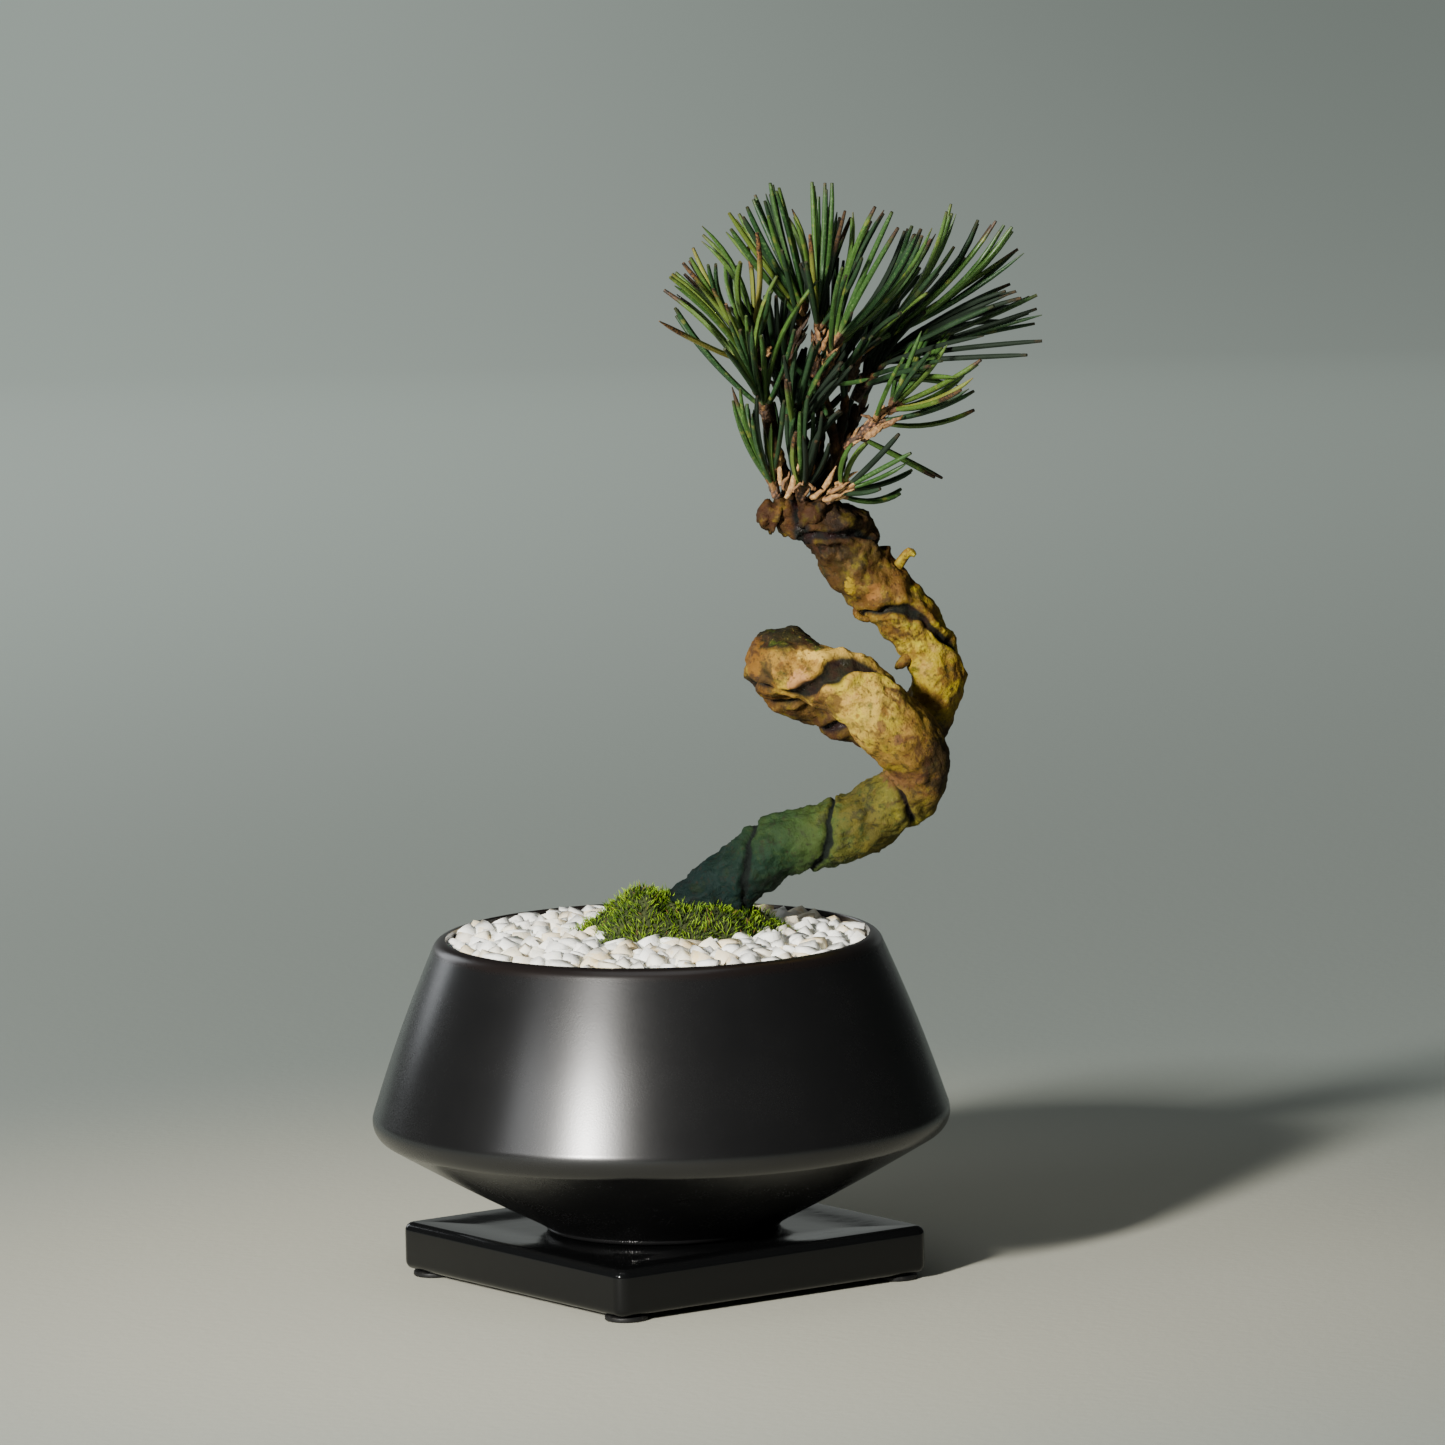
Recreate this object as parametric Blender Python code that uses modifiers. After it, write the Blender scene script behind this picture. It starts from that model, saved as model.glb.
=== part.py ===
"""Japanese black pine bonsai in its pot, on a square saucer.

Units are metres and +Z is up. The saucer's pads stand on Z = 0. The pot's axis stands left of the
object's middle, because the tree leans to the right, and the origin is under the object's middle.
The camera side is -Y. Points of routes and shoots are in millimetres from the pot's axis.
"""
import math
import random

import bmesh
import bpy
import numpy as np
from mathutils import Matrix, Vector

MM = 0.001
GAP = 0.3 * MM
POT_AXIS_X = -10.1 * MM

# Saucer: a square tile on four round pads
SAUCER_SIDE = 76 * MM
SAUCER_THICKNESS = 9.5 * MM
SAUCER_CORNER_RADIUS = 2.0 * MM
SAUCER_EDGE_RADIUS = 1.2 * MM
SAUCER_CORNER_STEPS = 3
SAUCER_EDGE_STEPS = 3
SAUCER_RIM_WIDTH = 2.2 * MM
SAUCER_RIM_SLOPE = 1.6 * MM
SAUCER_RIM_CORNER = 0.8 * MM
SAUCER_RECESS = 0.6 * MM
SAUCER_YAW = math.radians(35.5)
PAD_RADIUS = 4.3 * MM
PAD_HEIGHT = 1.3 * MM
PAD_INSET = 4.9 * MM
PAD_CHAMFER = 0.3 * MM
SAUCER_BOTTOM_Z = PAD_HEIGHT
SAUCER_TOP_Z = SAUCER_BOTTOM_Z + SAUCER_THICKNESS

# Pot: heights are above its foot
POT_FOOT_Z = SAUCER_TOP_Z - SAUCER_RECESS + GAP
POT_HEIGHT = 58.9 * MM
POT_RIM_Z = POT_FOOT_Z + POT_HEIGHT
POT_STEPS = 40
POT_FOOT_RADIUS = 23.0 * MM
POT_FOOT_CHAMFER = (0.6 * MM, 0.8 * MM)
POT_BELLY_RADIUS = 57.8 * MM
POT_BELLY_HEIGHT = 22.6 * MM
POT_BELLY_ROUNDING = 4.4 * MM
POT_LIP_RADIUS = 45.0 * MM
POT_LIP_ROUNDING = 1.8 * MM
POT_MOUTH_RADIUS = 42.2 * MM
POT_WALL = 4.2 * MM
POT_FLOOR = 5.0 * MM
WALL_LEAN = math.radians(20.5)
WALL_SWELL = 0.5 * MM
HOLLOW_WALL_FOOT = 25.0 * MM
HOLLOW_BELLY = (50.6 * MM, 21.4 * MM)
HOLLOW_FLOOR_RADIUS = 21.5 * MM
DRAIN_RADIUS = 6.5 * MM

# Drain screen and fillings
SCREEN_RADIUS = 10.5 * MM
SCREEN_THICKNESS = 0.9 * MM
SCREEN_HOLE = 2.6 * MM
SCREEN_PITCH = 4.0 * MM
SCREEN_MIDDLE_Z = POT_FOOT_Z + POT_FLOOR + GAP + SCREEN_THICKNESS / 2
SOIL_TOP_Z = POT_RIM_Z - 10.0 * MM
GRAVEL_EDGE_Z = POT_RIM_Z - 3.3 * MM
GRAVEL_DOME = 2.6 * MM
GRAIN_RINGS = 7
GRAIN_RISE = 1.9 * MM
GRAIN_JOINT = 0.75 * MM
GRAIN_SHORTEST_SIDE = 1.5 * MM
GRAIN_STRAY = 0.9 * MM
GRAIN_SMALLEST = 9e-6
GRAIN_UNEVEN = (-0.7 * MM, 0.5 * MM)
GRAVEL_CLEARANCE = 0.4 * MM
GRAVEL_MOSS_GAP = 2.2 * MM

# Moss cushion round the foot of the trunk
MOSS_CENTRE = Vector((4.6 * MM, 0.0, 0.0))
MOSS_HALF_LENGTH = 20.0 * MM
MOSS_HALF_DEPTH = 15.5 * MM
MOSS_HEIGHT = 6.2 * MM
MOSS_CROWN_X = -4.0 * MM
MOSS_CROWN_WIDTH = 6.0 * MM
MOSS_TUFT = 1.9 * MM
MOSS_EDGE = 0.5 * MM

# Trunk route from its rooted end to its top: x, y, z and radius in millimetres
TRUNK_ROUTE = [
    (-2.5, 3.0, 50.0, 6.0),
    (0.0, 3.0, 60.0, 6.5),
    (3.0, 3.0, 68.0, 6.7),
    (11.7, 2.5, 76.9, 6.6),
    (18.2, 2.0, 81.9, 6.3),
    (25.9, 1.5, 87.2, 6.0),
    (32.9, 1.0, 88.4, 6.3),
    (38.9, 0.8, 89.9, 6.4),
    (46.5, -0.4, 94.7, 6.2),
    (52.0, -3.0, 99.6, 6.1),
    (52.4, -5.8, 105.0, 6.5),
    (49.6, -7.4, 109.4, 6.9),
    (45.3, -8.2, 113.7, 7.0),
    (40.8, -8.3, 118.0, 6.5),
    (35.4, -7.8, 121.3, 5.8),
    (30.6, -6.5, 123.0, 6.0),
    (26.8, -3.6, 124.3, 6.5),
    (25.4, 0.6, 123.6, 6.7),
    (26.6, 5.0, 120.6, 6.5),
    (30.2, 7.8, 116.8, 6.0),
    (35.5, 8.8, 113.9, 5.7),
    (41.0, 9.0, 111.3, 5.6),
    (47.2, 8.6, 109.3, 5.6),
    (52.8, 8.0, 110.2, 5.5),
    (56.2, 7.4, 114.4, 5.4),
    (57.0, 6.8, 120.2, 5.5),
    (54.4, 6.2, 126.6, 5.4),
    (51.0, 5.6, 132.0, 5.7),
    (46.8, 5.0, 136.4, 6.2),
    (42.4, 4.2, 141.0, 6.0),
    (39.2, 3.2, 146.4, 6.2),
    (35.0, 2.0, 150.6, 6.2),
    (29.6, 0.9, 152.6, 4.8),
    (24.8, 0.0, 152.4, 3.4),
]
TRUNK_SIDES = 12
TRUNK_STEP = 3.3 * MM
BURIED_END = 6
SCAR_START_Z = POT_RIM_Z + 3.0 * MM
ROUTE_STEP = 4.0 * MM
HOLE_CLEARANCE = 0.7 * MM

# Where the wire's scar crosses the front of the trunk, as lengths along it in millimetres
SCAR_CROSSINGS = [20, 42, 60, 82, 103, 124, 144, 162, 180, 197, 214, 231, 246]
SCAR_DEPTH = 0.19
SCAR_SHARPNESS = 5

# Bare wood that rises from the trunk: points in millimetres, radius at the foot and at the end
TWIGS = {
    "left_low": ([(27.0, -0.5, 154.0), (25.8, -1.6, 157.4)], 2.0, 1.5),
    "left": ([(28.0, 0.8, 154.0), (27.2, -0.4, 162.0), (25.2, -2.0, 168.0), (23.4, -3.0, 173.4)], 1.9, 1.2),
    "left_high": ([(25.9, -1.0, 166.0), (25.0, 0.8, 173.0), (23.0, 1.0, 181.6)], 1.3, 1.1),
    "middle": ([(30.5, 1.0, 154.0), (30.0, 1.6, 163.0), (28.6, 2.8, 172.0), (27.5, 3.2, 180.0)], 1.9, 1.1),
    "front": ([(30.1, 1.0, 160.0), (29.6, -2.6, 164.4), (29.5, -5.4, 168.0)], 1.2, 1.1),
    "right": ([(34.2, 2.2, 151.6), (37.4, 1.6, 161.0), (37.2, 0.6, 169.0), (34.6, -0.8, 176.0),
               (33.5, -1.0, 180.6)], 2.1, 1.1),
    "right_front": ([(37.3, 0.7, 168.6), (36.6, -2.6, 173.4), (35.2, -4.0, 177.6)], 1.2, 1.1),
    "right_high": ([(37.4, 1.2, 165.0), (38.8, 2.0, 171.0), (39.8, 2.2, 177.0)], 1.4, 1.1),
    "far_right": ([(37.5, 1.4, 162.6), (40.4, 4.6, 168.4), (41.8, 6.8, 174.4)], 1.4, 1.1),
    "pink": ([(37.3, 1.5, 160.0), (38.6, -1.8, 163.8), (39.4, -3.8, 167.4)], 1.5, 1.2),
    "low_right": ([(35.5, -0.5, 151.0), (33.8, -3.8, 154.6), (35.0, -5.4, 156.2)], 2.2, 1.5),
    "low_middle": ([(31.5, 0.0, 152.5), (30.6, -3.0, 157.0)], 2.0, 1.5),
    "back": ([(33.0, 4.0, 151.0), (34.0, 8.0, 160.0), (34.6, 9.6, 168.0), (34.7, 10.0, 173.6)], 2.0, 1.1),
    "back_left": ([(34.2, 8.4, 162.0), (31.4, 9.2, 167.0), (29.4, 9.2, 172.0)], 1.3, 1.1),
    "back_right": ([(33.9, 7.6, 158.6), (36.6, 8.8, 162.0), (38.4, 9.2, 165.6)], 1.3, 1.1),
    "scar_stub": ([(45.2, 4.6, 138.8), (49.0, 3.4, 140.4), (50.2, 2.8, 144.2)], 1.7, 0.9),
    "low_stub": ([(52.8, 4.0, 125.0), (48.6, 2.2, 121.6)], 1.5, 1.0),
}

# Leafy shoots: foot and tip of the shoot, needle length in millimetres, number of needles and
# how far the lowest needles open from the shoot, in degrees
SHOOTS = {
    "low_left": ((25.6, -2.1, 158.2), (23.4, -4.4, 165.6), 20, 16, 24),
    "low_middle": ((30.6, -3.4, 157.6), (32.4, -6.6, 164.6), 23, 16, 26),
    "left": ((23.0, -3.3, 174.2), (18.2, -5.6, 180.4), 23, 19, 34),
    "upper_left": ((22.6, 1.0, 182.6), (19.4, 1.8, 190.0), 22, 19, 38),
    "top_left": ((27.4, 3.4, 181.4), (26.0, 4.8, 190.2), 27, 19, 34),
    "top": ((33.6, -1.1, 181.8), (34.4, -2.2, 190.8), 28, 20, 32),
    "top_front": ((35.2, -4.4, 178.9), (38.6, -6.8, 186.6), 30, 20, 34),
    "top_right": ((40.1, 2.3, 178.4), (45.4, 2.4, 185.2), 34, 22, 34),
    "far_right": ((42.5, 7.2, 175.4), (50.4, 9.4, 179.0), 31, 21, 34),
    "pink": ((40.3, -4.6, 168.0), (47.2, -7.6, 173.6), 22, 18, 40),
    "low_right": ((35.9, -6.1, 157.0), (42.2, -9.0, 160.0), 17, 15, 36),
    "front": ((29.5, -6.2, 169.2), (29.6, -10.2, 176.8), 25, 17, 44),
    "back_left": ((29.2, 9.8, 172.9), (25.6, 14.0, 179.8), 27, 19, 44),
    "back": ((34.8, 10.5, 174.5), (36.0, 15.0, 182.0), 28, 19, 42),
    "back_right": ((39.0, 9.8, 166.2), (42.8, 16.6, 170.2), 26, 19, 44),
}
NEEDLE_RADIUS = 0.6 * MM
NEEDLE_TIP_RADIUS = 0.28 * MM
NEEDLE_COLLAR = 2.6 * MM
NEEDLE_CLEARANCE = 0.45 * MM
OWN_CLEARANCE = 0.06 * MM
NEEDLE_BEND = 0.10
SHOOT_RADIUS = 1.9 * MM
NEEDLE_SEAT = 1.25 * MM
TRIES_PER_NEEDLE = 90
TRIES_FREEDOM = 6

COLOURS = {
    "saucer": ((0.010, 0.011, 0.012), 0.12, 0.0),
    "pad": ((0.03, 0.03, 0.03), 0.55, 0.0),
    "pot": ((0.014, 0.014, 0.015), 0.36, 0.0),
    "screen": ((0.03, 0.03, 0.03), 0.6, 0.0),
    "soil": ((0.065, 0.042, 0.026), 0.95, 0.0),
    "gravel": ((0.74, 0.72, 0.68), 0.8, 0.0),
    "moss": ((0.17, 0.26, 0.030), 0.9, 0.0),
    "wood": ((0.33, 0.22, 0.060), 0.75, 0.0),
    "needle": ((0.035, 0.13, 0.028), 0.38, 0.0),
}


def clear_scene():
    for old in list(bpy.data.objects):
        bpy.data.objects.remove(old, do_unlink=True)


def make_material(name):
    colour, roughness, metallic = COLOURS[name]
    material = bpy.data.materials.new(name)
    material.use_nodes = True
    shader = material.node_tree.nodes["Principled BSDF"]
    shader.inputs["Base Color"].default_value = (*colour, 1.0)
    shader.inputs["Roughness"].default_value = roughness
    shader.inputs["Metallic"].default_value = metallic
    return material


def place(mesh, name, material, collection, parent):
    """Put a mesh in the scene under the pot's axis, with its material."""
    thing = bpy.data.objects.new(name, mesh)
    collection.objects.link(thing)
    thing.parent = parent
    mesh.materials.clear()
    mesh.materials.append(material)
    return thing


def mesh_from_bmesh(shape, name):
    mesh = bpy.data.meshes.new(name)
    bmesh.ops.recalc_face_normals(shape, faces=shape.faces)
    shape.to_mesh(mesh)
    shape.free()
    return mesh


def boolean(thing, operation, others):
    """Cut or join a collection of objects with one object, for good."""
    tools = bpy.data.collections.new("tools")
    bpy.context.scene.collection.children.link(tools)
    for other in others:
        tools.objects.link(other)
    step = thing.modifiers.new("join", "BOOLEAN")
    step.operation = operation
    step.operand_type = "COLLECTION"
    step.collection = tools
    step.solver = "EXACT"
    bpy.context.view_layer.update()
    solid = thing.evaluated_get(bpy.context.evaluated_depsgraph_get())
    mesh = bpy.data.meshes.new_from_object(solid)
    thing.modifiers.clear()
    material = thing.data.materials[0]
    thing.data = mesh
    mesh.materials.clear()
    mesh.materials.append(material)
    for other in others:
        bpy.data.objects.remove(other, do_unlink=True)
    bpy.data.collections.remove(tools)


def loose_copy(mesh, name, material, parent):
    """An object that a Boolean will use up."""
    thing = bpy.data.objects.new(name, mesh)
    thing.parent = parent
    mesh.materials.append(material)
    return thing


def turned_mesh(profile, name, steps):
    """Spin a closed profile of (radius, height) points about Z with a Screw modifier."""
    mesh = bpy.data.meshes.new(name)
    points = [(radius, 0.0, height) for radius, height in profile]
    closed = min(radius for radius, height in profile) > 0
    edges = [(i, i + 1) for i in range(len(points) - 1)]
    if closed:
        edges.append((len(points) - 1, 0))
    mesh.from_pydata(points, edges, [])
    blank = bpy.data.objects.new(name + "_profile", mesh)
    bpy.context.scene.collection.objects.link(blank)
    turn = blank.modifiers.new("turn", "SCREW")
    turn.steps = steps
    turn.render_steps = steps
    turn.use_merge_vertices = True
    turn.merge_threshold = 0.00001
    turn.use_normal_calculate = False
    bpy.context.view_layer.update()
    solid = blank.evaluated_get(bpy.context.evaluated_depsgraph_get())
    turned = bpy.data.meshes.new_from_object(solid)
    bpy.data.objects.remove(blank, do_unlink=True)
    return turned


def arc(centre, radius, start, end, count):
    """Points of an arc in a profile, angles in degrees from +radius towards +height."""
    points = []
    for i in range(count + 1):
        angle = math.radians(start + (end - start) * i / count)
        points.append((centre[0] + radius * math.cos(angle), centre[1] + radius * math.sin(angle)))
    return points


def smooth_path(points, step):
    """A smooth curve through points of any width, cut into equal lengths of about step."""
    points = np.array(points, float)
    chord = np.linalg.norm(np.diff(points[:, :3], axis=0), axis=1)
    knots = np.concatenate([[0], np.cumsum(np.sqrt(chord))])
    slopes = np.gradient(points, knots, axis=0)
    fine = []
    for i in range(len(points) - 1):
        span = knots[i + 1] - knots[i]
        for j in range(24):
            t = j / 24
            fine.append(
                (2 * t**3 - 3 * t**2 + 1) * points[i] + (t**3 - 2 * t**2 + t) * span * slopes[i]
                + (3 * t**2 - 2 * t**3) * points[i + 1] + (t**3 - t**2) * span * slopes[i + 1]
            )
    fine.append(points[-1])
    fine = np.array(fine)
    length = np.concatenate([[0], np.cumsum(np.linalg.norm(np.diff(fine[:, :3], axis=0), axis=1))])
    count = max(2, round(length[-1] / step))
    stations = np.linspace(0, length[-1], count + 1)
    path = np.stack([np.interp(stations, length, fine[:, k]) for k in range(fine.shape[1])], axis=1)
    return path, stations


def carried_frames(path):
    """Side and up vectors that follow a path without twisting about it."""
    tangents = np.gradient(path[:, :3], axis=0)
    tangents /= np.linalg.norm(tangents, axis=1)[:, None]
    side = np.array([0.0, -1.0, 0.0])
    if abs(tangents[0] @ side) > 0.9:
        side = np.array([1.0, 0.0, 0.0])
    frames = []
    for tangent in tangents:
        side = side - tangent * (side @ tangent)
        side /= np.linalg.norm(side)
        frames.append((side.copy(), np.cross(tangent, side)))
    return frames


def skin_rings(shape, rings):
    """Close a solid over rings of equally many points, with a face at each end."""
    for low, high in zip(rings, rings[1:]):
        for k in range(len(low)):
            after = (k + 1) % len(low)
            shape.faces.new((low[k], low[after], high[after], high[k]))
    shape.faces.new(rings[0])
    shape.faces.new(rings[-1])
    bmesh.ops.triangulate(shape, faces=shape.faces)


def loft(path, sides, name, radius_at):
    """Skin rings along a path. radius_at(ring, angle) is each point's distance from it."""
    shape = bmesh.new()
    rings = []
    for i, (side, up) in enumerate(carried_frames(path)):
        ring = []
        for k in range(sides):
            angle = 2 * math.pi * k / sides
            out = side * math.cos(angle) + up * math.sin(angle)
            ring.append(shape.verts.new(Vector(path[i, :3] + out * radius_at(i, angle))))
        rings.append(ring)
    skin_rings(shape, rings)
    return mesh_from_bmesh(shape, name)


def square_ring(shape, half, radius, height):
    """The points of a level square with rounded corners, in order round it."""
    ring = []
    for corner in range(4):
        middle = math.radians(45 + 90 * corner)
        for step in range(SAUCER_CORNER_STEPS + 1):
            angle = math.radians(90 * (corner + step / SAUCER_CORNER_STEPS))
            x = math.copysign(half - radius, math.cos(middle)) + radius * math.cos(angle)
            y = math.copysign(half - radius, math.sin(middle)) + radius * math.sin(angle)
            ring.append(shape.verts.new((x, y, height)))
    return ring


def saucer_mesh():
    """A square tile with rounded corners and edges, its top sunk inside a narrow rim."""
    shape = bmesh.new()
    half = SAUCER_SIDE / 2
    levels = []
    for step in range(SAUCER_EDGE_STEPS + 1):
        angle = math.radians(90 * step / SAUCER_EDGE_STEPS)
        inset = SAUCER_EDGE_RADIUS * (1 - math.sin(angle))
        levels.append((inset, SAUCER_CORNER_RADIUS - inset, SAUCER_EDGE_RADIUS * (1 - math.cos(angle))))
    levels += [(inset, radius, SAUCER_THICKNESS - height) for inset, radius, height in reversed(levels)]
    levels.append((SAUCER_RIM_WIDTH, SAUCER_RIM_CORNER, SAUCER_THICKNESS))
    sunk = (SAUCER_RIM_WIDTH + SAUCER_RIM_SLOPE, SAUCER_RIM_CORNER, SAUCER_THICKNESS - SAUCER_RECESS)
    levels.append(sunk)
    skin_rings(shape, [square_ring(shape, half - inset, radius, height) for inset, radius, height in levels])
    turn = Matrix.Rotation(SAUCER_YAW, 4, "Z")
    bmesh.ops.transform(shape, matrix=Matrix.Translation((0, 0, SAUCER_BOTTOM_Z)) @ turn, verts=shape.verts)
    return mesh_from_bmesh(shape, "saucer")


def pad_mesh(corner):
    """A low round pad under one corner of the saucer."""
    reach = SAUCER_SIDE / 2 - PAD_INSET
    angle = SAUCER_YAW + math.radians(45 + 90 * corner)
    x = reach * math.sqrt(2) * math.cos(angle)
    y = reach * math.sqrt(2) * math.sin(angle)
    top = PAD_HEIGHT - GAP
    profile = [(0.0, top), (PAD_RADIUS, top), (PAD_RADIUS, PAD_CHAMFER)]
    profile += [(PAD_RADIUS - PAD_CHAMFER, 0.0), (0.0, 0.0)]
    mesh = turned_mesh(profile, "pad", 18)
    mesh.transform(Matrix.Translation((x, y, 0)))
    return mesh


def pot_wall_radius(height):
    """Outer radius of the wall between belly and lip, a nearly straight line that swells a little."""
    low_radius = POT_BELLY_RADIUS - POT_BELLY_ROUNDING * (1 - math.cos(WALL_LEAN))
    low_height = POT_BELLY_HEIGHT + POT_BELLY_ROUNDING * math.sin(WALL_LEAN)
    high_height = POT_HEIGHT - POT_LIP_ROUNDING * (1 - math.sin(WALL_LEAN))
    share = (height - low_height) / (high_height - low_height)
    swell = WALL_SWELL * math.sin(math.pi * min(max(share, 0), 1))
    return low_radius + (POT_LIP_RADIUS - low_radius) * share + swell


def hollow_side(clearance, top, floor):
    """The side of the pot's hollow from a height down to its floor, drawn in by a clearance."""
    points = []
    for i in range(4):
        height = top + (HOLLOW_WALL_FOOT - top) * i / 3
        points.append((max(POT_MOUTH_RADIUS, pot_wall_radius(height) - POT_WALL) - clearance, height))
    points.append((HOLLOW_BELLY[0] - clearance, HOLLOW_BELLY[1] + clearance))
    points.append((HOLLOW_FLOOR_RADIUS - clearance, floor))
    return points


def pot_mesh():
    """Turned wall: lip, wall, belly, cone and foot outside, then the drain hole and the hollow."""
    lean = math.degrees(WALL_LEAN)
    lip_centre = (POT_LIP_RADIUS - POT_LIP_ROUNDING * math.cos(WALL_LEAN), POT_HEIGHT - POT_LIP_ROUNDING)
    profile = arc(lip_centre, POT_LIP_ROUNDING, 90, lean, 3)
    wall_top = profile[-1][1]
    belly = (POT_BELLY_RADIUS - POT_BELLY_ROUNDING, POT_BELLY_HEIGHT)
    rounding = arc(belly, POT_BELLY_ROUNDING, lean, -61, 5)
    for i in range(1, 4):
        height = wall_top + (rounding[0][1] - wall_top) * i / 4
        profile.append((pot_wall_radius(height), height))
    profile += rounding
    profile += [(POT_FOOT_RADIUS + POT_FOOT_CHAMFER[0], POT_FOOT_CHAMFER[1]), (POT_FOOT_RADIUS, 0.0)]
    profile += [(DRAIN_RADIUS, 0.0), (DRAIN_RADIUS, POT_FLOOR)]
    mouth_top = POT_HEIGHT - (lip_centre[0] - POT_MOUTH_RADIUS)
    profile += list(reversed(hollow_side(0.0, mouth_top, POT_FLOOR)))
    profile += arc((lip_centre[0], mouth_top), lip_centre[0] - POT_MOUTH_RADIUS, 180, 90, 2)[1:-1]
    mesh = turned_mesh(profile, "pot", POT_STEPS)
    mesh.transform(Matrix.Translation((0, 0, POT_FOOT_Z)))
    return mesh


def box_mesh(size, centre, name):
    shape = bmesh.new()
    bmesh.ops.create_cube(shape, size=size)
    bmesh.ops.translate(shape, vec=centre, verts=shape.verts)
    return mesh_from_bmesh(shape, name)


def screen_mesh():
    """A thin disc that keeps the soil in over the drain hole."""
    low = SCREEN_MIDDLE_Z - SCREEN_THICKNESS / 2
    high = SCREEN_MIDDLE_Z + SCREEN_THICKNESS / 2
    profile = [(0.0, high), (SCREEN_RADIUS, high), (SCREEN_RADIUS, low), (0.0, low)]
    return turned_mesh(profile, "drain_screen", 20)


def screen_holes(material, parent):
    holes = []
    for column in (-1, 0, 1):
        for row in (-1, 0, 1):
            centre = Vector((column * SCREEN_PITCH, row * SCREEN_PITCH, SCREEN_MIDDLE_Z))
            holes.append(loose_copy(box_mesh(SCREEN_HOLE, centre, "hole"), "hole", material, parent))
    return holes


def soil_mesh():
    """The filling below the gravel, hollowed underneath where the screen lies."""
    floor = POT_FLOOR + GAP
    side = hollow_side(GAP, SOIL_TOP_Z - POT_FOOT_Z, floor)
    over_screen = floor + SCREEN_THICKNESS + GAP
    profile = [(0.0, SOIL_TOP_Z - POT_FOOT_Z)] + side
    profile += [(SCREEN_RADIUS + GAP * 2, floor), (SCREEN_RADIUS + GAP, over_screen), (0.0, over_screen)]
    mesh = turned_mesh(profile, "soil", 30)
    mesh.transform(Matrix.Translation((0, 0, POT_FOOT_Z)))
    return mesh


def gravel_surface(x, y):
    """Height of the gravel bed, a low dome."""
    spread = min(1.0, math.hypot(x, y) / POT_MOUTH_RADIUS)
    return GRAVEL_EDGE_Z + GRAVEL_DOME * (1 - spread * spread)


def moss_wave(angle):
    """How far the cushion's edge strays from an oval."""
    return 1 + 0.07 * math.sin(3 * angle + 0.6) + 0.05 * math.sin(5 * angle)


def moss_reach(x, y, margin):
    """A point's distance from the cushion's middle, as a share of the way to its edge and margin."""
    across = (x - MOSS_CENTRE.x) / (MOSS_HALF_LENGTH + margin)
    deep = (y - MOSS_CENTRE.y) / (MOSS_HALF_DEPTH + margin)
    return math.hypot(across, deep) / moss_wave(math.atan2(deep, across))


def grain_corners(shape, chance, joints, ring):
    """Corners on the wavering circle outside a ring of grains, each with its angle, in order."""
    reach = POT_MOUTH_RADIUS - GRAVEL_CLEARANCE
    outermost = ring == GRAIN_RINGS
    corners = []
    for angle in sorted(joints[ring] + joints[ring + 1]):
        stray = 0.0 if outermost else chance.uniform(-GRAIN_STRAY, GRAIN_STRAY)
        radius = reach * (ring + 0.5) / (GRAIN_RINGS + 0.5) + stray
        corners.append((angle, shape.verts.new((radius * math.cos(angle), radius * math.sin(angle), 0.0))))
    return corners


def corners_between(corners, start, end):
    """The corners from one angle round to another, both ends counted."""
    small = 1e-6
    turn = (end - start) % math.tau
    found = []
    for angle, corner in corners:
        after = (angle - start + small) % math.tau
        if after < turn + 2 * small:
            found.append((after, corner))
    return [corner for after, corner in sorted(found, key=lambda pair: pair[0])]


def part_round_moss(grain):
    """Push a grain's corners out of the moss, and say whether the grain is left with any size."""
    reaches = [moss_reach(corner.co.x, corner.co.y, GRAVEL_MOSS_GAP) for corner in grain.verts]
    if max(reaches) < 1:
        return False
    for corner, share in zip(grain.verts, reaches):
        if share < 1:
            middle = Vector((MOSS_CENTRE.x, MOSS_CENTRE.y, 0))
            corner.co = middle + (corner.co - middle) / max(share, 0.1)
    return grain.calc_area() > GRAIN_SMALLEST


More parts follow.
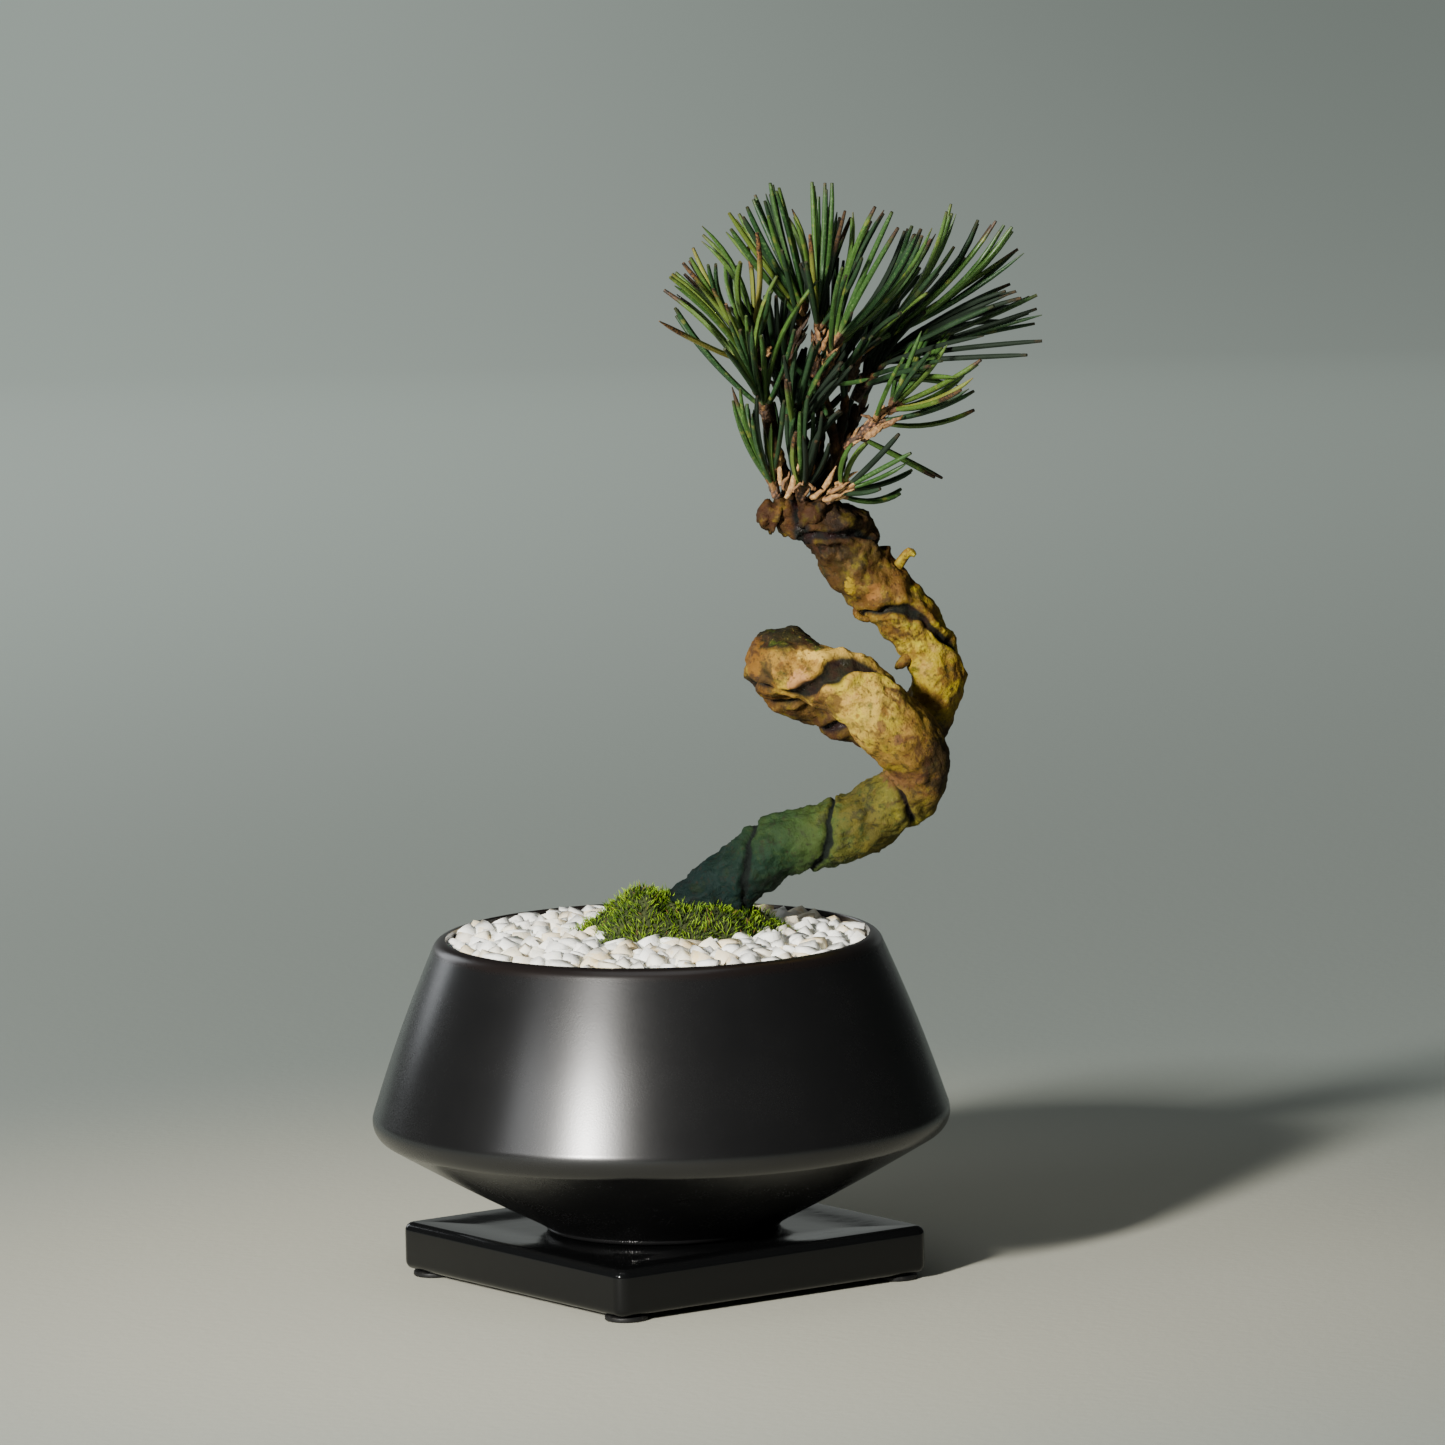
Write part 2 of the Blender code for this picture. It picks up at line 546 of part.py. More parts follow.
def gravel_mesh():
    """A dome paved with rough grains laid in rings, each raised alone, flat where the moss lies."""
    chance = random.Random(5)
    shape = bmesh.new()
    joints = [[]]
    for ring in range(1, GRAIN_RINGS + 1):
        pitch = math.tau / (6 * ring)
        angles = [pitch * (i + chance.uniform(-0.24, 0.24)) + ring * ring for i in range(6 * ring)]
        joints.append([angle % math.tau for angle in angles])
    joints.append([])
    lines = [grain_corners(shape, chance, joints, ring) for ring in range(GRAIN_RINGS + 1)]
    shape.faces.new([corner for _, corner in lines[0]])
    grains = []
    for ring in range(1, GRAIN_RINGS + 1):
        angles = sorted(joints[ring])
        for start, end in zip(angles, angles[1:] + angles[:1]):
            outer = corners_between(lines[ring], start, end)
            inner = corners_between(lines[ring - 1], start, end)
            grains.append(shape.faces.new(outer + inner[::-1]))
    bmesh.ops.remove_doubles(shape, verts=shape.verts, dist=GRAIN_SHORTEST_SIDE)
    grains = [grain for grain in grains if grain.is_valid and part_round_moss(grain)]
    for corner in shape.verts:
        corner.co.z = gravel_surface(corner.co.x, corner.co.y)
    edge = [side for side in shape.edges if side.is_boundary]
    wall = bmesh.ops.extrude_edge_only(shape, edges=edge)["geom"]
    foot = [thing for thing in wall if isinstance(thing, bmesh.types.BMVert)]
    for corner in foot:
        corner.co.z = SOIL_TOP_Z + GAP
    bmesh.ops.contextual_create(shape, geom=[side for side in shape.edges if side.is_boundary])
    bmesh.ops.recalc_face_normals(shape, faces=shape.faces)
    bmesh.ops.inset_individual(shape, faces=grains, thickness=GRAIN_JOINT, depth=GRAIN_RISE)
    for grain in grains:
        for corner in grain.verts:
            corner.co.z += chance.uniform(*GRAIN_UNEVEN)
    bmesh.ops.triangulate(shape, faces=shape.faces)
    return mesh_from_bmesh(shape, "gravel")


def moss_mesh():
    """A cushion over the gravel bed, raised into tufts that thin out towards its edge."""
    chance = random.Random(11)
    rings = 8
    spokes = 32
    shape = bmesh.new()

    def spot(ring, spoke):
        share = ring / rings
        angle = 2 * math.pi * (spoke + 0.5 * (ring % 2)) / spokes
        reach = share * moss_wave(angle)
        x = MOSS_CENTRE.x + MOSS_HALF_LENGTH * reach * math.cos(angle)
        y = MOSS_CENTRE.y + MOSS_HALF_DEPTH * reach * math.sin(angle)
        return x, y, share

    def crest(ring, spoke):
        x, y, share = spot(ring, spoke)
        crown = 1 + 0.30 * math.exp(-((x - MOSS_CROWN_X) / MOSS_CROWN_WIDTH) ** 2)
        mound = MOSS_HEIGHT * (1 - share**2.4) * crown
        tuft = MOSS_TUFT * chance.uniform(0.6, 1.4) * ((ring + spoke) % 2) * (1 - 0.7 * share**6)
        return x, y, gravel_surface(x, y) + GAP + MOSS_EDGE + mound + tuft

    top_centre = shape.verts.new(crest(0, 0))
    x, y, _ = spot(0, 0)
    low_centre = shape.verts.new((x, y, gravel_surface(x, y) + GAP))
    tops = []
    lows = []
    for ring in range(1, rings + 1):
        tops.append([shape.verts.new(crest(ring, spoke)) for spoke in range(spokes)])
    for ring in (4, rings):
        line = [spot(ring, spoke) for spoke in range(spokes)]
        lows.append([shape.verts.new((x, y, gravel_surface(x, y) + GAP)) for x, y, _ in line])
    for layer, centre in ((tops, top_centre), (lows, low_centre)):
        for spoke in range(spokes):
            after = (spoke + 1) % spokes
            shape.faces.new((centre, layer[0][spoke], layer[0][after]))
            for inner, outer in zip(layer, layer[1:]):
                shape.faces.new((inner[spoke], outer[spoke], outer[after], inner[after]))
    for spoke in range(spokes):
        after = (spoke + 1) % spokes
        shape.faces.new((tops[-1][spoke], lows[-1][spoke], lows[-1][after], tops[-1][after]))
    bmesh.ops.triangulate(shape, faces=shape.faces)
    return mesh_from_bmesh(shape, "moss")


def in_metres(points):
    return [tuple(value * MM for value in point) for point in points]


def scar_turns(length):
    """Turns of the wire's scar wound up by a length along the trunk."""
    places = [crossing * MM for crossing in SCAR_CROSSINGS]
    return float(np.interp(length, places, range(len(places))))


def trunk_mesh():
    """The trunk bulges between the turns of a groove that a training wire left round it."""
    path, lengths = smooth_path(in_metres(TRUNK_ROUTE), TRUNK_STEP)
    last = len(path) - 1

    def radius_at(ring, angle):
        phase = angle + 2 * math.pi * scar_turns(lengths[ring])
        groove = (0.5 + 0.5 * math.cos(phase)) ** SCAR_SHARPNESS
        buried = path[ring, 2] < SCAR_START_Z
        depth = 0.0 if buried else SCAR_DEPTH
        swell = 0.04 * math.cos(phase + math.pi) if not buried else 0.0
        taper = 0.72 if ring in (0, last) else 1.0
        return path[ring, 3] * (1 - depth * groove + swell) * taper

    return loft(path, TRUNK_SIDES, "pine_wood", radius_at)


def root_hole_mesh(name):
    """A plain slanting hole for the trunk's rooted end."""
    path, _ = smooth_path(in_metres(TRUNK_ROUTE[:BURIED_END + 1]), ROUTE_STEP)
    start = path[0, :3] - path[1, :3]
    start /= np.linalg.norm(start)
    path[0, :3] += start * HOLE_CLEARANCE
    return loft(path, 18, name, lambda ring, angle: path[ring, 3] + HOLE_CLEARANCE)


def twig_mesh(points, foot, end):
    path, _ = smooth_path(in_metres(points), ROUTE_STEP)
    return loft(path, 6, "twig", lambda ring, angle: (foot + (end - foot) * ring / (len(path) - 1)) * MM)


def segment_gap(start, end, starts, ends):
    """Least distance from one straight segment to each of many."""
    u = end - start
    v = ends - starts
    w = start - starts
    a = u @ u
    b = v @ u
    c = np.einsum("ij,ij->i", v, v)
    d = w @ u
    e = np.einsum("ij,ij->i", v, w)
    bottom = np.maximum(a * c - b * b, 1e-18)
    s = np.clip((b * e - c * d) / bottom, 0, 1)
    t = np.clip((b * s + e) / np.maximum(c, 1e-18), 0, 1)
    s = np.clip((b * t - d) / a, 0, 1)
    return np.linalg.norm(w + s[:, None] * u - t[:, None] * v, axis=1)


class Crowd:
    """Everything that a new needle has to miss, as straight rods with a radius and an owner."""

    def __init__(self):
        self.starts = []
        self.ends = []
        self.radii = []
        self.owners = []

    def add(self, points, radius, owner):
        for start, end in zip(points, points[1:]):
            self.starts.append(start)
            self.ends.append(end)
            self.radii.append(radius)
            self.owners.append(owner)

    def clear_of(self, points, owner):
        """Whether a needle misses all others, and its own shoot's needles beyond their collars."""
        starts = np.array(self.starts)
        ends = np.array(self.ends)
        radii = np.array(self.radii)
        own_core = np.array([name == "core of " + owner for name in self.owners])
        own = np.array([name == owner for name in self.owners])
        others = ~own & ~own_core
        for i in range(len(points) - 1):
            room = segment_gap(points[i], points[i + 1], starts, ends) - radii - NEEDLE_RADIUS
            if (room[others] < NEEDLE_CLEARANCE).any():
                return False
            if i > 0 and (room[own] < OWN_CLEARANCE).any():
                return False
        return True


def needle_points(foot, direction, length, lean):
    """Foot, collar, middle and tip of a needle that bends a little towards lean."""
    collar = foot + direction * NEEDLE_COLLAR
    middle = foot + direction * length * 0.5
    tip = foot + direction * length + lean * length * NEEDLE_BEND
    return np.array([foot, collar, middle, tip])


def needle_mesh(points):
    """A three-sided rod through foot, middle and tip."""
    path = np.column_stack([points[[0, 2, 3]], [NEEDLE_RADIUS, NEEDLE_RADIUS, NEEDLE_TIP_RADIUS]])
    return loft(path, 3, "needle", lambda ring, angle: path[ring, 3])


def grow_needle(site, crowd, chance):
    """One needle near the place that the golden angle gives it, or None where it finds no room."""
    name, axis, side, other, start, turn, tilt, length = site
    for attempt in range(TRIES_PER_NEEDLE):
        freedom = 1 + TRIES_FREEDOM * attempt / TRIES_PER_NEEDLE
        around = turn + chance.uniform(-0.25, 0.25) * freedom
        opening = tilt + math.radians(chance.uniform(-4, 4)) * freedom
        out = side * math.cos(around) + other * math.sin(around)
        direction = axis * math.cos(opening) + out * math.sin(opening)
        reach = length * chance.uniform(0.84, 1.10)
        lean = np.array([0, 0, 0.35]) - out * 0.5
        points = needle_points(start + out * NEEDLE_SEAT, direction, reach, lean)
        if crowd.clear_of(points, name):
            return points
    return None


def grow_spray(name, crowd, chance, material, parent):
    """One shoot's needles, turned by the golden angle and kept clear of every other shoot."""
    foot, tip, needle_length, count, opening = SHOOTS[name]
    foot = np.array(foot) * MM
    tip = np.array(tip) * MM
    axis = (tip - foot) / np.linalg.norm(tip - foot)
    side = np.cross(axis, [0.3, 1.0, 0.2])
    side /= np.linalg.norm(side)
    other = np.cross(axis, side)
    golden = math.pi * (3 - math.sqrt(5))
    needles = []
    for i in range(count):
        share = (i + 0.5) / count
        start = foot + (tip - foot) * (0.26 + 0.72 * share)
        tilt = math.radians(opening * (1 - 0.78 * share))
        site = (name, axis, side, other, start, i * golden, tilt, needle_length * MM)
        points = grow_needle(site, crowd, chance)
        if points is not None:
            crowd.add(points, NEEDLE_RADIUS, name)
            needles.append(loose_copy(needle_mesh(points), "needle", material, parent))
    return needles


def shoot_core_mesh(name):
    foot, tip = (np.array(point) * MM for point in SHOOTS[name][:2])
    radii = (SHOOT_RADIUS * 0.85, SHOOT_RADIUS)
    return loft(np.array([foot, tip]), 6, name, lambda ring, angle: radii[ring])


def build():
    clear_scene()
    bonsai = bpy.data.collections.new("japanese_black_pine_bonsai")
    bpy.context.scene.collection.children.link(bonsai)
    pot_axis = bpy.data.objects.new("pot_axis", None)
    pot_axis.location = (POT_AXIS_X, 0, 0)
    bonsai.objects.link(pot_axis)
    materials = {name: make_material(name) for name in COLOURS}

    def add(mesh, name, material):
        return place(mesh, name, materials[material], bonsai, pot_axis)

    add(saucer_mesh(), "saucer", "saucer")
    for corner in range(4):
        add(pad_mesh(corner), f"saucer_pad_{corner + 1}", "pad")
    add(pot_mesh(), "pot", "pot")

    screen = add(screen_mesh(), "drain_screen", "screen")
    boolean(screen, "DIFFERENCE", screen_holes(materials["screen"], pot_axis))

    soil = add(soil_mesh(), "soil", "soil")
    gravel = add(gravel_mesh(), "gravel", "gravel")
    moss = add(moss_mesh(), "moss", "moss")
    for filling in (soil, gravel, moss):
        hole = loose_copy(root_hole_mesh("root_hole"), "root_hole", materials["soil"], pot_axis)
        boolean(filling, "DIFFERENCE", [hole])

    wood = add(trunk_mesh(), "pine_wood", "wood")
    twigs = []
    crowd = Crowd()
    for name, (points, foot, end) in TWIGS.items():
        twigs.append(loose_copy(twig_mesh(points, foot, end), "twig", materials["wood"], pot_axis))
        crowd.add([np.array(point) * MM for point in points], foot * MM, "pine_wood")
    boolean(wood, "UNION", twigs)
    for low, high in zip(TRUNK_ROUTE, TRUNK_ROUTE[1:]):
        ends = [np.array(point[:3]) * MM for point in (low, high)]
        crowd.add(ends, max(low[3], high[3]) * MM, "pine_wood")

    for name, (foot, tip, *_) in SHOOTS.items():
        crowd.add([np.array(foot) * MM, np.array(tip) * MM], SHOOT_RADIUS, "core of " + name)
    chance = random.Random(3)
    for name in SHOOTS:
        spray = add(shoot_core_mesh(name), f"spray_{name}", "needle")
        boolean(spray, "UNION", grow_spray(name, crowd, chance, materials["needle"], pot_axis))

    for thing in bonsai.objects:
        if thing.type == "MESH":
            thing.data.shade_smooth()
            thing.data.set_sharp_from_angle(angle=math.radians(35))


build()
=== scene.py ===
"""A young Japanese black pine grown as a small bonsai, in a black bellied pot on a square saucer.

Everything is in metres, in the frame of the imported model. Points of the tree's routes are in
millimetres from the pot's axis, as they are in the part's own source.
"""

import math
import random

import bmesh
import bpy
import numpy as np
from mathutils import Matrix, Vector, noise


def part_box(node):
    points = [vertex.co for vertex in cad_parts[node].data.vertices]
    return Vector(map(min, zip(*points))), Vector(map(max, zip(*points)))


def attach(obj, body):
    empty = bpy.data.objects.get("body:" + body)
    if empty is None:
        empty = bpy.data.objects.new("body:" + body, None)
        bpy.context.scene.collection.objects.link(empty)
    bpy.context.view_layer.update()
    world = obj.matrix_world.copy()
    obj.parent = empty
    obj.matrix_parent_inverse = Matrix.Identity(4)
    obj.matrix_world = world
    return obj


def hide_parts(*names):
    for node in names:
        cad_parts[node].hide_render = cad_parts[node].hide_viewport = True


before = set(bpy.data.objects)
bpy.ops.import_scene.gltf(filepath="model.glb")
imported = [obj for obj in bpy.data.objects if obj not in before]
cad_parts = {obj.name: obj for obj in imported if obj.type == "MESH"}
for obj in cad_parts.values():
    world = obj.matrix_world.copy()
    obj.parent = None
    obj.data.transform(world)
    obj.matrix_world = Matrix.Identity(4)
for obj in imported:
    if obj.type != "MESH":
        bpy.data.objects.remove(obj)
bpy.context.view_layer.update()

# Camera
# A long lens 2.7 m away looks down on the tree by 9.4 degrees, rolled by a little over one degree.
# The pot's axis, 45.8 mm above the floor, falls on pixel 660, 1051 of a 1445 pixel square.
MM = 0.001
pot_low, pot_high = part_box("pot")
POT_AXIS = Vector(((pot_low.x + pot_high.x) / 2, (pot_low.y + pot_high.y) / 2, 0.0))
CAMERA_DISTANCE = 2.7
CAMERA_ELEVATION = math.radians(9.4)
CAMERA_ROLL = math.radians(1.25)
FOCAL_PIXELS = 13500
IMAGE_SIZE = 1445
SIGHTED_PIXEL = (660, 1051)
SIGHTED_HEIGHT = 45.8 * MM

sighted = POT_AXIS + Vector((0, 0, SIGHTED_HEIGHT))
level_view = Vector((0, math.cos(CAMERA_ELEVATION), -math.sin(CAMERA_ELEVATION)))
level_up = Vector((1, 0, 0)).cross(level_view)
image_right = Vector((1, 0, 0)) * math.cos(CAMERA_ROLL) - level_up * math.sin(CAMERA_ROLL)
image_up = Vector((1, 0, 0)) * math.sin(CAMERA_ROLL) + level_up * math.cos(CAMERA_ROLL)
view = level_view * FOCAL_PIXELS
view += image_right * (IMAGE_SIZE / 2 - SIGHTED_PIXEL[0]) + image_up * (SIGHTED_PIXEL[1] - IMAGE_SIZE / 2)
view.normalize()
camera_x = (image_right - view * image_right.dot(view)).normalized()
camera_y = (-view).cross(camera_x)
camera_data = bpy.data.cameras.new("camera")
camera_data.sensor_width = 36
camera_data.lens = FOCAL_PIXELS / IMAGE_SIZE * camera_data.sensor_width
camera_data.clip_start = 0.1
camera_data.clip_end = 20
camera = bpy.data.objects.new("camera", camera_data)
turn = Matrix((camera_x, camera_y, -view)).transposed()
camera.matrix_world = Matrix.Translation(sighted - level_view * CAMERA_DISTANCE) @ turn.to_4x4()
bpy.context.scene.collection.objects.link(camera)
bpy.context.scene.camera = camera


# Floor and light
# A pale round floor, painted darker towards the right as shade, that runs out into a grey which
# glows by itself as painted light, dimmer towards the right. A small bright box to the left of the
# camera draws the highlight down the pot, and dim panels beside, behind and above fill the shadows.
class Wire:
    """A socket's output. Arithmetic on it adds Math nodes to its graph."""

    def __init__(self, graph, socket):
        self.graph = graph
        self.socket = socket

    def math(self, operation, first, second):
        return self.graph.add("ShaderNodeMath", {"operation": operation}, {0: first, 1: second})

    def __add__(self, other):
        return self.math("ADD", self, other)

    def __sub__(self, other):
        return self.math("SUBTRACT", self, other)

    def __rsub__(self, other):
        return self.math("SUBTRACT", other, self)

    def __mul__(self, other):
        return self.math("MULTIPLY", self, other)

    __radd__ = __add__
    __rmul__ = __mul__


class Graph:
    """A node tree in the making."""

    def __init__(self, tree):
        self.tree = tree

    def add(self, kind, settings=None, inputs=None, output=0):
        """A node with its settings made first, then its sockets' values or links."""
        node = self.tree.nodes.new(kind)
        for name, value in (settings or {}).items():
            if name == "stops":
                for i, (place, colour) in enumerate(value):
                    stops = node.color_ramp.elements
                    stop = stops[i] if i < len(stops) else stops.new(place)
                    stop.position = place
                    stop.color = (*colour, 1.0)
            else:
                setattr(node, name, value)
        for name, value in (inputs or {}).items():
            self.join(value, node.inputs[name])
        return Wire(self, node.outputs[output])

    def join(self, value, socket):
        if isinstance(value, Wire):
            self.tree.links.new(value.socket, socket)
        else:
            socket.default_value = value

    def vector(self, operation, first, second):
        """Vector Math on two vectors, or on a vector and the number that SCALE takes."""
        inputs = {0: first, "Scale" if operation == "SCALE" else 1: second}
        return self.add("ShaderNodeVectorMath", {"operation": operation}, inputs)

    def axis(self, vector, letter):
        return self.add("ShaderNodeSeparateXYZ", None, {0: vector}, letter)

    def ramp(self, value, stops):
        return self.add("ShaderNodeValToRGB", {"stops": stops}, {"Fac": value}, "Color")


class Finish(Graph):
    """A Principled material whose patterns are laid out in millimetres on the object."""

    def __init__(self, name, **fixed):
        self.material = bpy.data.materials.new(name)
        self.material.use_nodes = True
        super().__init__(self.material.node_tree)
        self.shader = self.tree.nodes["Principled BSDF"]
        for socket, value in fixed.items():
            self.shader.inputs[socket.replace("_", " ")].default_value = value
        place = self.add("ShaderNodeTexCoord", output="Object")
        self.mm = self.vector("SCALE", place, 1 / MM)

    def noise(self, size, detail=3.0, roughness=0.55):
        """Noise between 0 and 1 whose features are about size millimetres across."""
        inputs = {"Vector": self.mm, "Scale": 1.0 / size, "Detail": detail, "Roughness": roughness}
        return self.add("ShaderNodeTexNoise", None, inputs)

    def mask(self, value, low, high):
        """0 below low, 1 above high, eased between."""
        settings = {"interpolation_type": "SMOOTHSTEP"}
        return self.add("ShaderNodeMapRange", settings, {"Value": value, "From Min": low, "From Max": high})

    def blots(self, size, detail, low, high, roughness=0.55):
        """Blots of noise about size millimetres across, 1 inside them and 0 between."""
        return self.mask(self.noise(size, detail, roughness), low, high)

    def mix(self, factor, first, second):
        colours = [value if isinstance(value, Wire) else (*value, 1.0) for value in (first, second)]
        return self.add("ShaderNodeMix", {"data_type": "RGBA"}, {0: factor, 6: colours[0], 7: colours[1]}, 2)

    def attribute(self, name):
        return self.add("ShaderNodeAttribute", {"attribute_name": name}, None, "Fac")

    def bump(self, height, millimetres):
        """Relief as deep as the given millimetres where height goes from 0 to 1."""
        inputs = {"Strength": 1.0, "Distance": millimetres * MM, "Height": height}
        self.feed(Normal=self.add("ShaderNodeBump", None, inputs))

    def feed(self, **sockets):
        for name, value in sockets.items():
            self.join(value, self.shader.inputs[name.replace("_", " ")])


def link(thing):
    bpy.context.scene.collection.objects.link(thing)
    return thing


LIGHTS_MEET = 90 * MM
STAGE_RADIUS = 6.0


def soft_box(name, azimuth, elevation, distance, width, height, power, colour):
    """An area light that faces the pot. Azimuth 0 is the camera's side, positive to its left."""
    data = bpy.data.lights.new(name, "AREA")
    data.shape = "RECTANGLE"
    data.size = width
    data.size_y = height
    data.energy = power
    data.color = colour
    thing = link(bpy.data.objects.new(name, data))
    side = math.radians(azimuth)
    up = math.radians(elevation)
    towards = Vector((-math.sin(side) * math.cos(up), -math.cos(side) * math.cos(up), math.sin(up)))
    thing.location = POT_AXIS + Vector((0, 0, LIGHTS_MEET)) + towards * distance
    thing.rotation_mode = "QUATERNION"
    thing.rotation_quaternion = towards.to_track_quat("Z", "Y")


soft_box("key", 31, 18.5, 1.5, 0.13, 0.18, 68.0, (1.0, 0.97, 0.92))
soft_box("side_box", 56, 20, 1.5, 0.5, 0.3, 2.2, (0.96, 0.98, 1.0))
soft_box("left_panel", 140, 16, 1.3, 0.45, 0.5, 2.1, (0.92, 0.96, 1.0))
soft_box("back_panel", 180, 6, 1.6, 1.8, 0.34, 0.5, (0.94, 1.0, 0.96))
soft_box("top_fill", 10, 78, 1.4, 1.0, 1.0, 3.0, (0.95, 0.98, 1.0))

floor_finish = Finish("floor_paint", Roughness=0.85, Emission_Strength=1.0)
away = floor_finish.add("ShaderNodeVectorMath", {"operation": "LENGTH"}, {0: floor_finish.mm}, "Value")
paleness = floor_finish.mask(away, 90.0, 300.0)
across = floor_finish.axis(floor_finish.mm, "X")
# The near floor darkens towards the right: painted shade.
near_colour_and_painted_shade = floor_finish.mask(across, -80.0, 260.0)
near_colour_and_painted_shade = floor_finish.mix(near_colour_and_painted_shade, (0.445, 0.445, 0.365), (0.35, 0.35, 0.29))
floor_finish.feed(Base_Color=floor_finish.mix(paleness, near_colour_and_painted_shade, (0.24, 0.275, 0.25)))
# Beyond the pot the floor glows by itself, painted light standing for a lit backdrop, dimmed towards the
# right as painted shade.
glow = floor_finish.mask(away, 110.0, 1500.0) * (1 - floor_finish.mask(across, -320.0, 330.0) * 0.54)
glow = glow * (1 - floor_finish.mask(across, 380.0, 900.0) * 0.9)
floor_finish.feed(Emission_Color=floor_finish.mix(glow, (0.0, 0.0, 0.0), (0.318, 0.370, 0.334)))
floor_finish.bump(floor_finish.noise(2.5, 4.0), 0.08)
shape = bmesh.new()
bmesh.ops.create_circle(shape, cap_ends=True, segments=96, radius=STAGE_RADIUS)
floor_mesh = bpy.data.meshes.new("floor")
shape.to_mesh(floor_mesh)
shape.free()
floor = link(bpy.data.objects.new("floor", floor_mesh))
floor_mesh.materials.append(floor_finish.material)

world = bpy.data.worlds.new("studio")
world.use_nodes = True
world.node_tree.nodes["Background"].inputs["Color"].default_value = (0.36, 0.39, 0.38, 1.0)
world.node_tree.nodes["Background"].inputs["Strength"].default_value = 0.10
bpy.context.scene.world = world


# Saucer
# A square ceramic tile under the pot, slip cast with softened corners and a shallow sunk top,
# in a wet-looking black glaze that has pooled a little and gathered dust.
SAUCER_SIDE = 76 * MM
SAUCER_YAW = math.radians(35.5)
SAUCER_CORNER = 2.6 * MM
SAUCER_EDGE = 1.7 * MM
SAUCER_RIM = 1.9 * MM
SAUCER_SLOPE = 12.0 * MM
SAUCER_RIM_CORNER = 0.8 * MM
SAUCER_RECESS = 0.6 * MM
ROUND_STEPS = 8
SLOPE_STEPS = 12


def finished(name, mesh, finishes, nodes, smooth=40):
    """Put a mesh in the scene as a piece that stands for its nodes. No finishes keeps its own."""
    piece = link(bpy.data.objects.new(name, mesh))
    if finishes:
        mesh.materials.clear()
        for finish in finishes:
            mesh.materials.append(finish.material)
    mesh.shade_smooth()
    if smooth:
        mesh.set_sharp_from_angle(angle=math.radians(smooth))
    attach(piece, "root")
    if nodes:
        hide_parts(*nodes)


def mesh_of(shape, name):
    bmesh.ops.recalc_face_normals(shape, faces=shape.faces)
    mesh = bpy.data.meshes.new(name)
    shape.to_mesh(mesh)
    shape.free()
    return mesh


saucer_low, saucer_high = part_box("saucer")
thickness = saucer_high.z - saucer_low.z
levels = []
for step in range(ROUND_STEPS + 1):
    angle = math.radians(90 * step / ROUND_STEPS)
    inset = SAUCER_EDGE * (1 - math.sin(angle))
    levels.append((inset, SAUCER_CORNER - inset, SAUCER_EDGE * (1 - math.cos(angle))))
levels += [(inset, radius, thickness - height) for inset, radius, height in reversed(levels)]
for step in range(SLOPE_STEPS + 1):
    share = step / SLOPE_STEPS
    ease = 3 * share**2 - 2 * share**3
    levels.append((SAUCER_RIM + SAUCER_SLOPE * share, SAUCER_RIM_CORNER, thickness - SAUCER_RECESS * ease))
shape = bmesh.new()
rings = []
for inset, radius, height in levels:
    ring = []
    for corner in range(4):
        middle = math.radians(45 + 90 * corner)
        for step in range(ROUND_STEPS + 1):
            angle = math.radians(90 * (corner + step / ROUND_STEPS))
            x = math.copysign(SAUCER_SIDE / 2 - inset - radius, math.cos(middle)) + radius * math.cos(angle)
            y = math.copysign(SAUCER_SIDE / 2 - inset - radius, math.sin(middle)) + radius * math.sin(angle)
            ring.append(shape.verts.new((x, y, height)))
    rings.append(ring)
for low, high in zip(rings, rings[1:]):
    for k in range(len(low)):
        after = (k + 1) % len(low)
        shape.faces.new((low[k], low[after], high[after], high[k]))
shape.faces.new(rings[0])
shape.faces.new(rings[-1])
place = Matrix.Translation(POT_AXIS + Vector((0, 0, saucer_low.z)))
bmesh.ops.transform(shape, matrix=place @ Matrix.Rotation(SAUCER_YAW, 4, "Z"), verts=shape.verts)

glaze = Finish("wet_black_glaze", IOR=1.5, Specular_IOR_Level=0.235)
pooled = glaze.noise(9.0, 2.0)
dust = glaze.blots(0.5, 2.0, 0.70, 0.78)
up = glaze.axis(glaze.add("ShaderNodeNewGeometry", output="Normal"), "Z")
dust = dust * glaze.mask(up, 0.6, 1.0) * 0.5
glaze.feed(Base_Color=glaze.mix(dust, (0.0032, 0.0034, 0.0036), (0.08, 0.08, 0.075)))
glaze.feed(Roughness=0.07 + pooled * 0.05 + dust * 0.4)
glaze.bump(pooled + glaze.noise(1.4, 1.0) * 0.08, 0.05)
finished("saucer_tile", mesh_of(shape, "saucer_tile"), [glaze], ["saucer"])


# Saucer pads
# Four stick-on rubber bumpers that lift the saucer off the shelf. Each is a low moulded button of
# smoky dark rubber, with a rounded foot and a little lint on it.
PAD_RADIUS = 4.3 * MM
PAD_TOP_EDGE = 0.25 * MM
PAD_FOOT_EDGE = 0.35 * MM
PAD_SIDES = 48
PAD_NODES = [f"saucer_pad_{i}" for i in (1, 2, 3, 4)]


def turned(profile, steps, name, at):
    """Spin an open or closed profile of (radius, height) points about the Z axis."""
    mesh = bpy.data.meshes.new(name)
    edges = [(i, i + 1) for i in range(len(profile) - 1)]
    if min(radius for radius, height in profile) > 0:
        edges.append((len(profile) - 1, 0))
    mesh.from_pydata([(radius, 0.0, height) for radius, height in profile], edges, [])
    blank = link(bpy.data.objects.new(name, mesh))
    spin = blank.modifiers.new("spin", "SCREW")
    spin.steps = steps
    spin.render_steps = steps
    spin.use_merge_vertices = True
    spin.merge_threshold = 0.000005
    bpy.context.view_layer.update()
    solid = blank.evaluated_get(bpy.context.evaluated_depsgraph_get())
    shape = bmesh.new()
    shape.from_mesh(solid.to_mesh())
    bpy.data.objects.remove(blank)
    bmesh.ops.translate(shape, vec=at, verts=shape.verts)
    return mesh_of(shape, name)


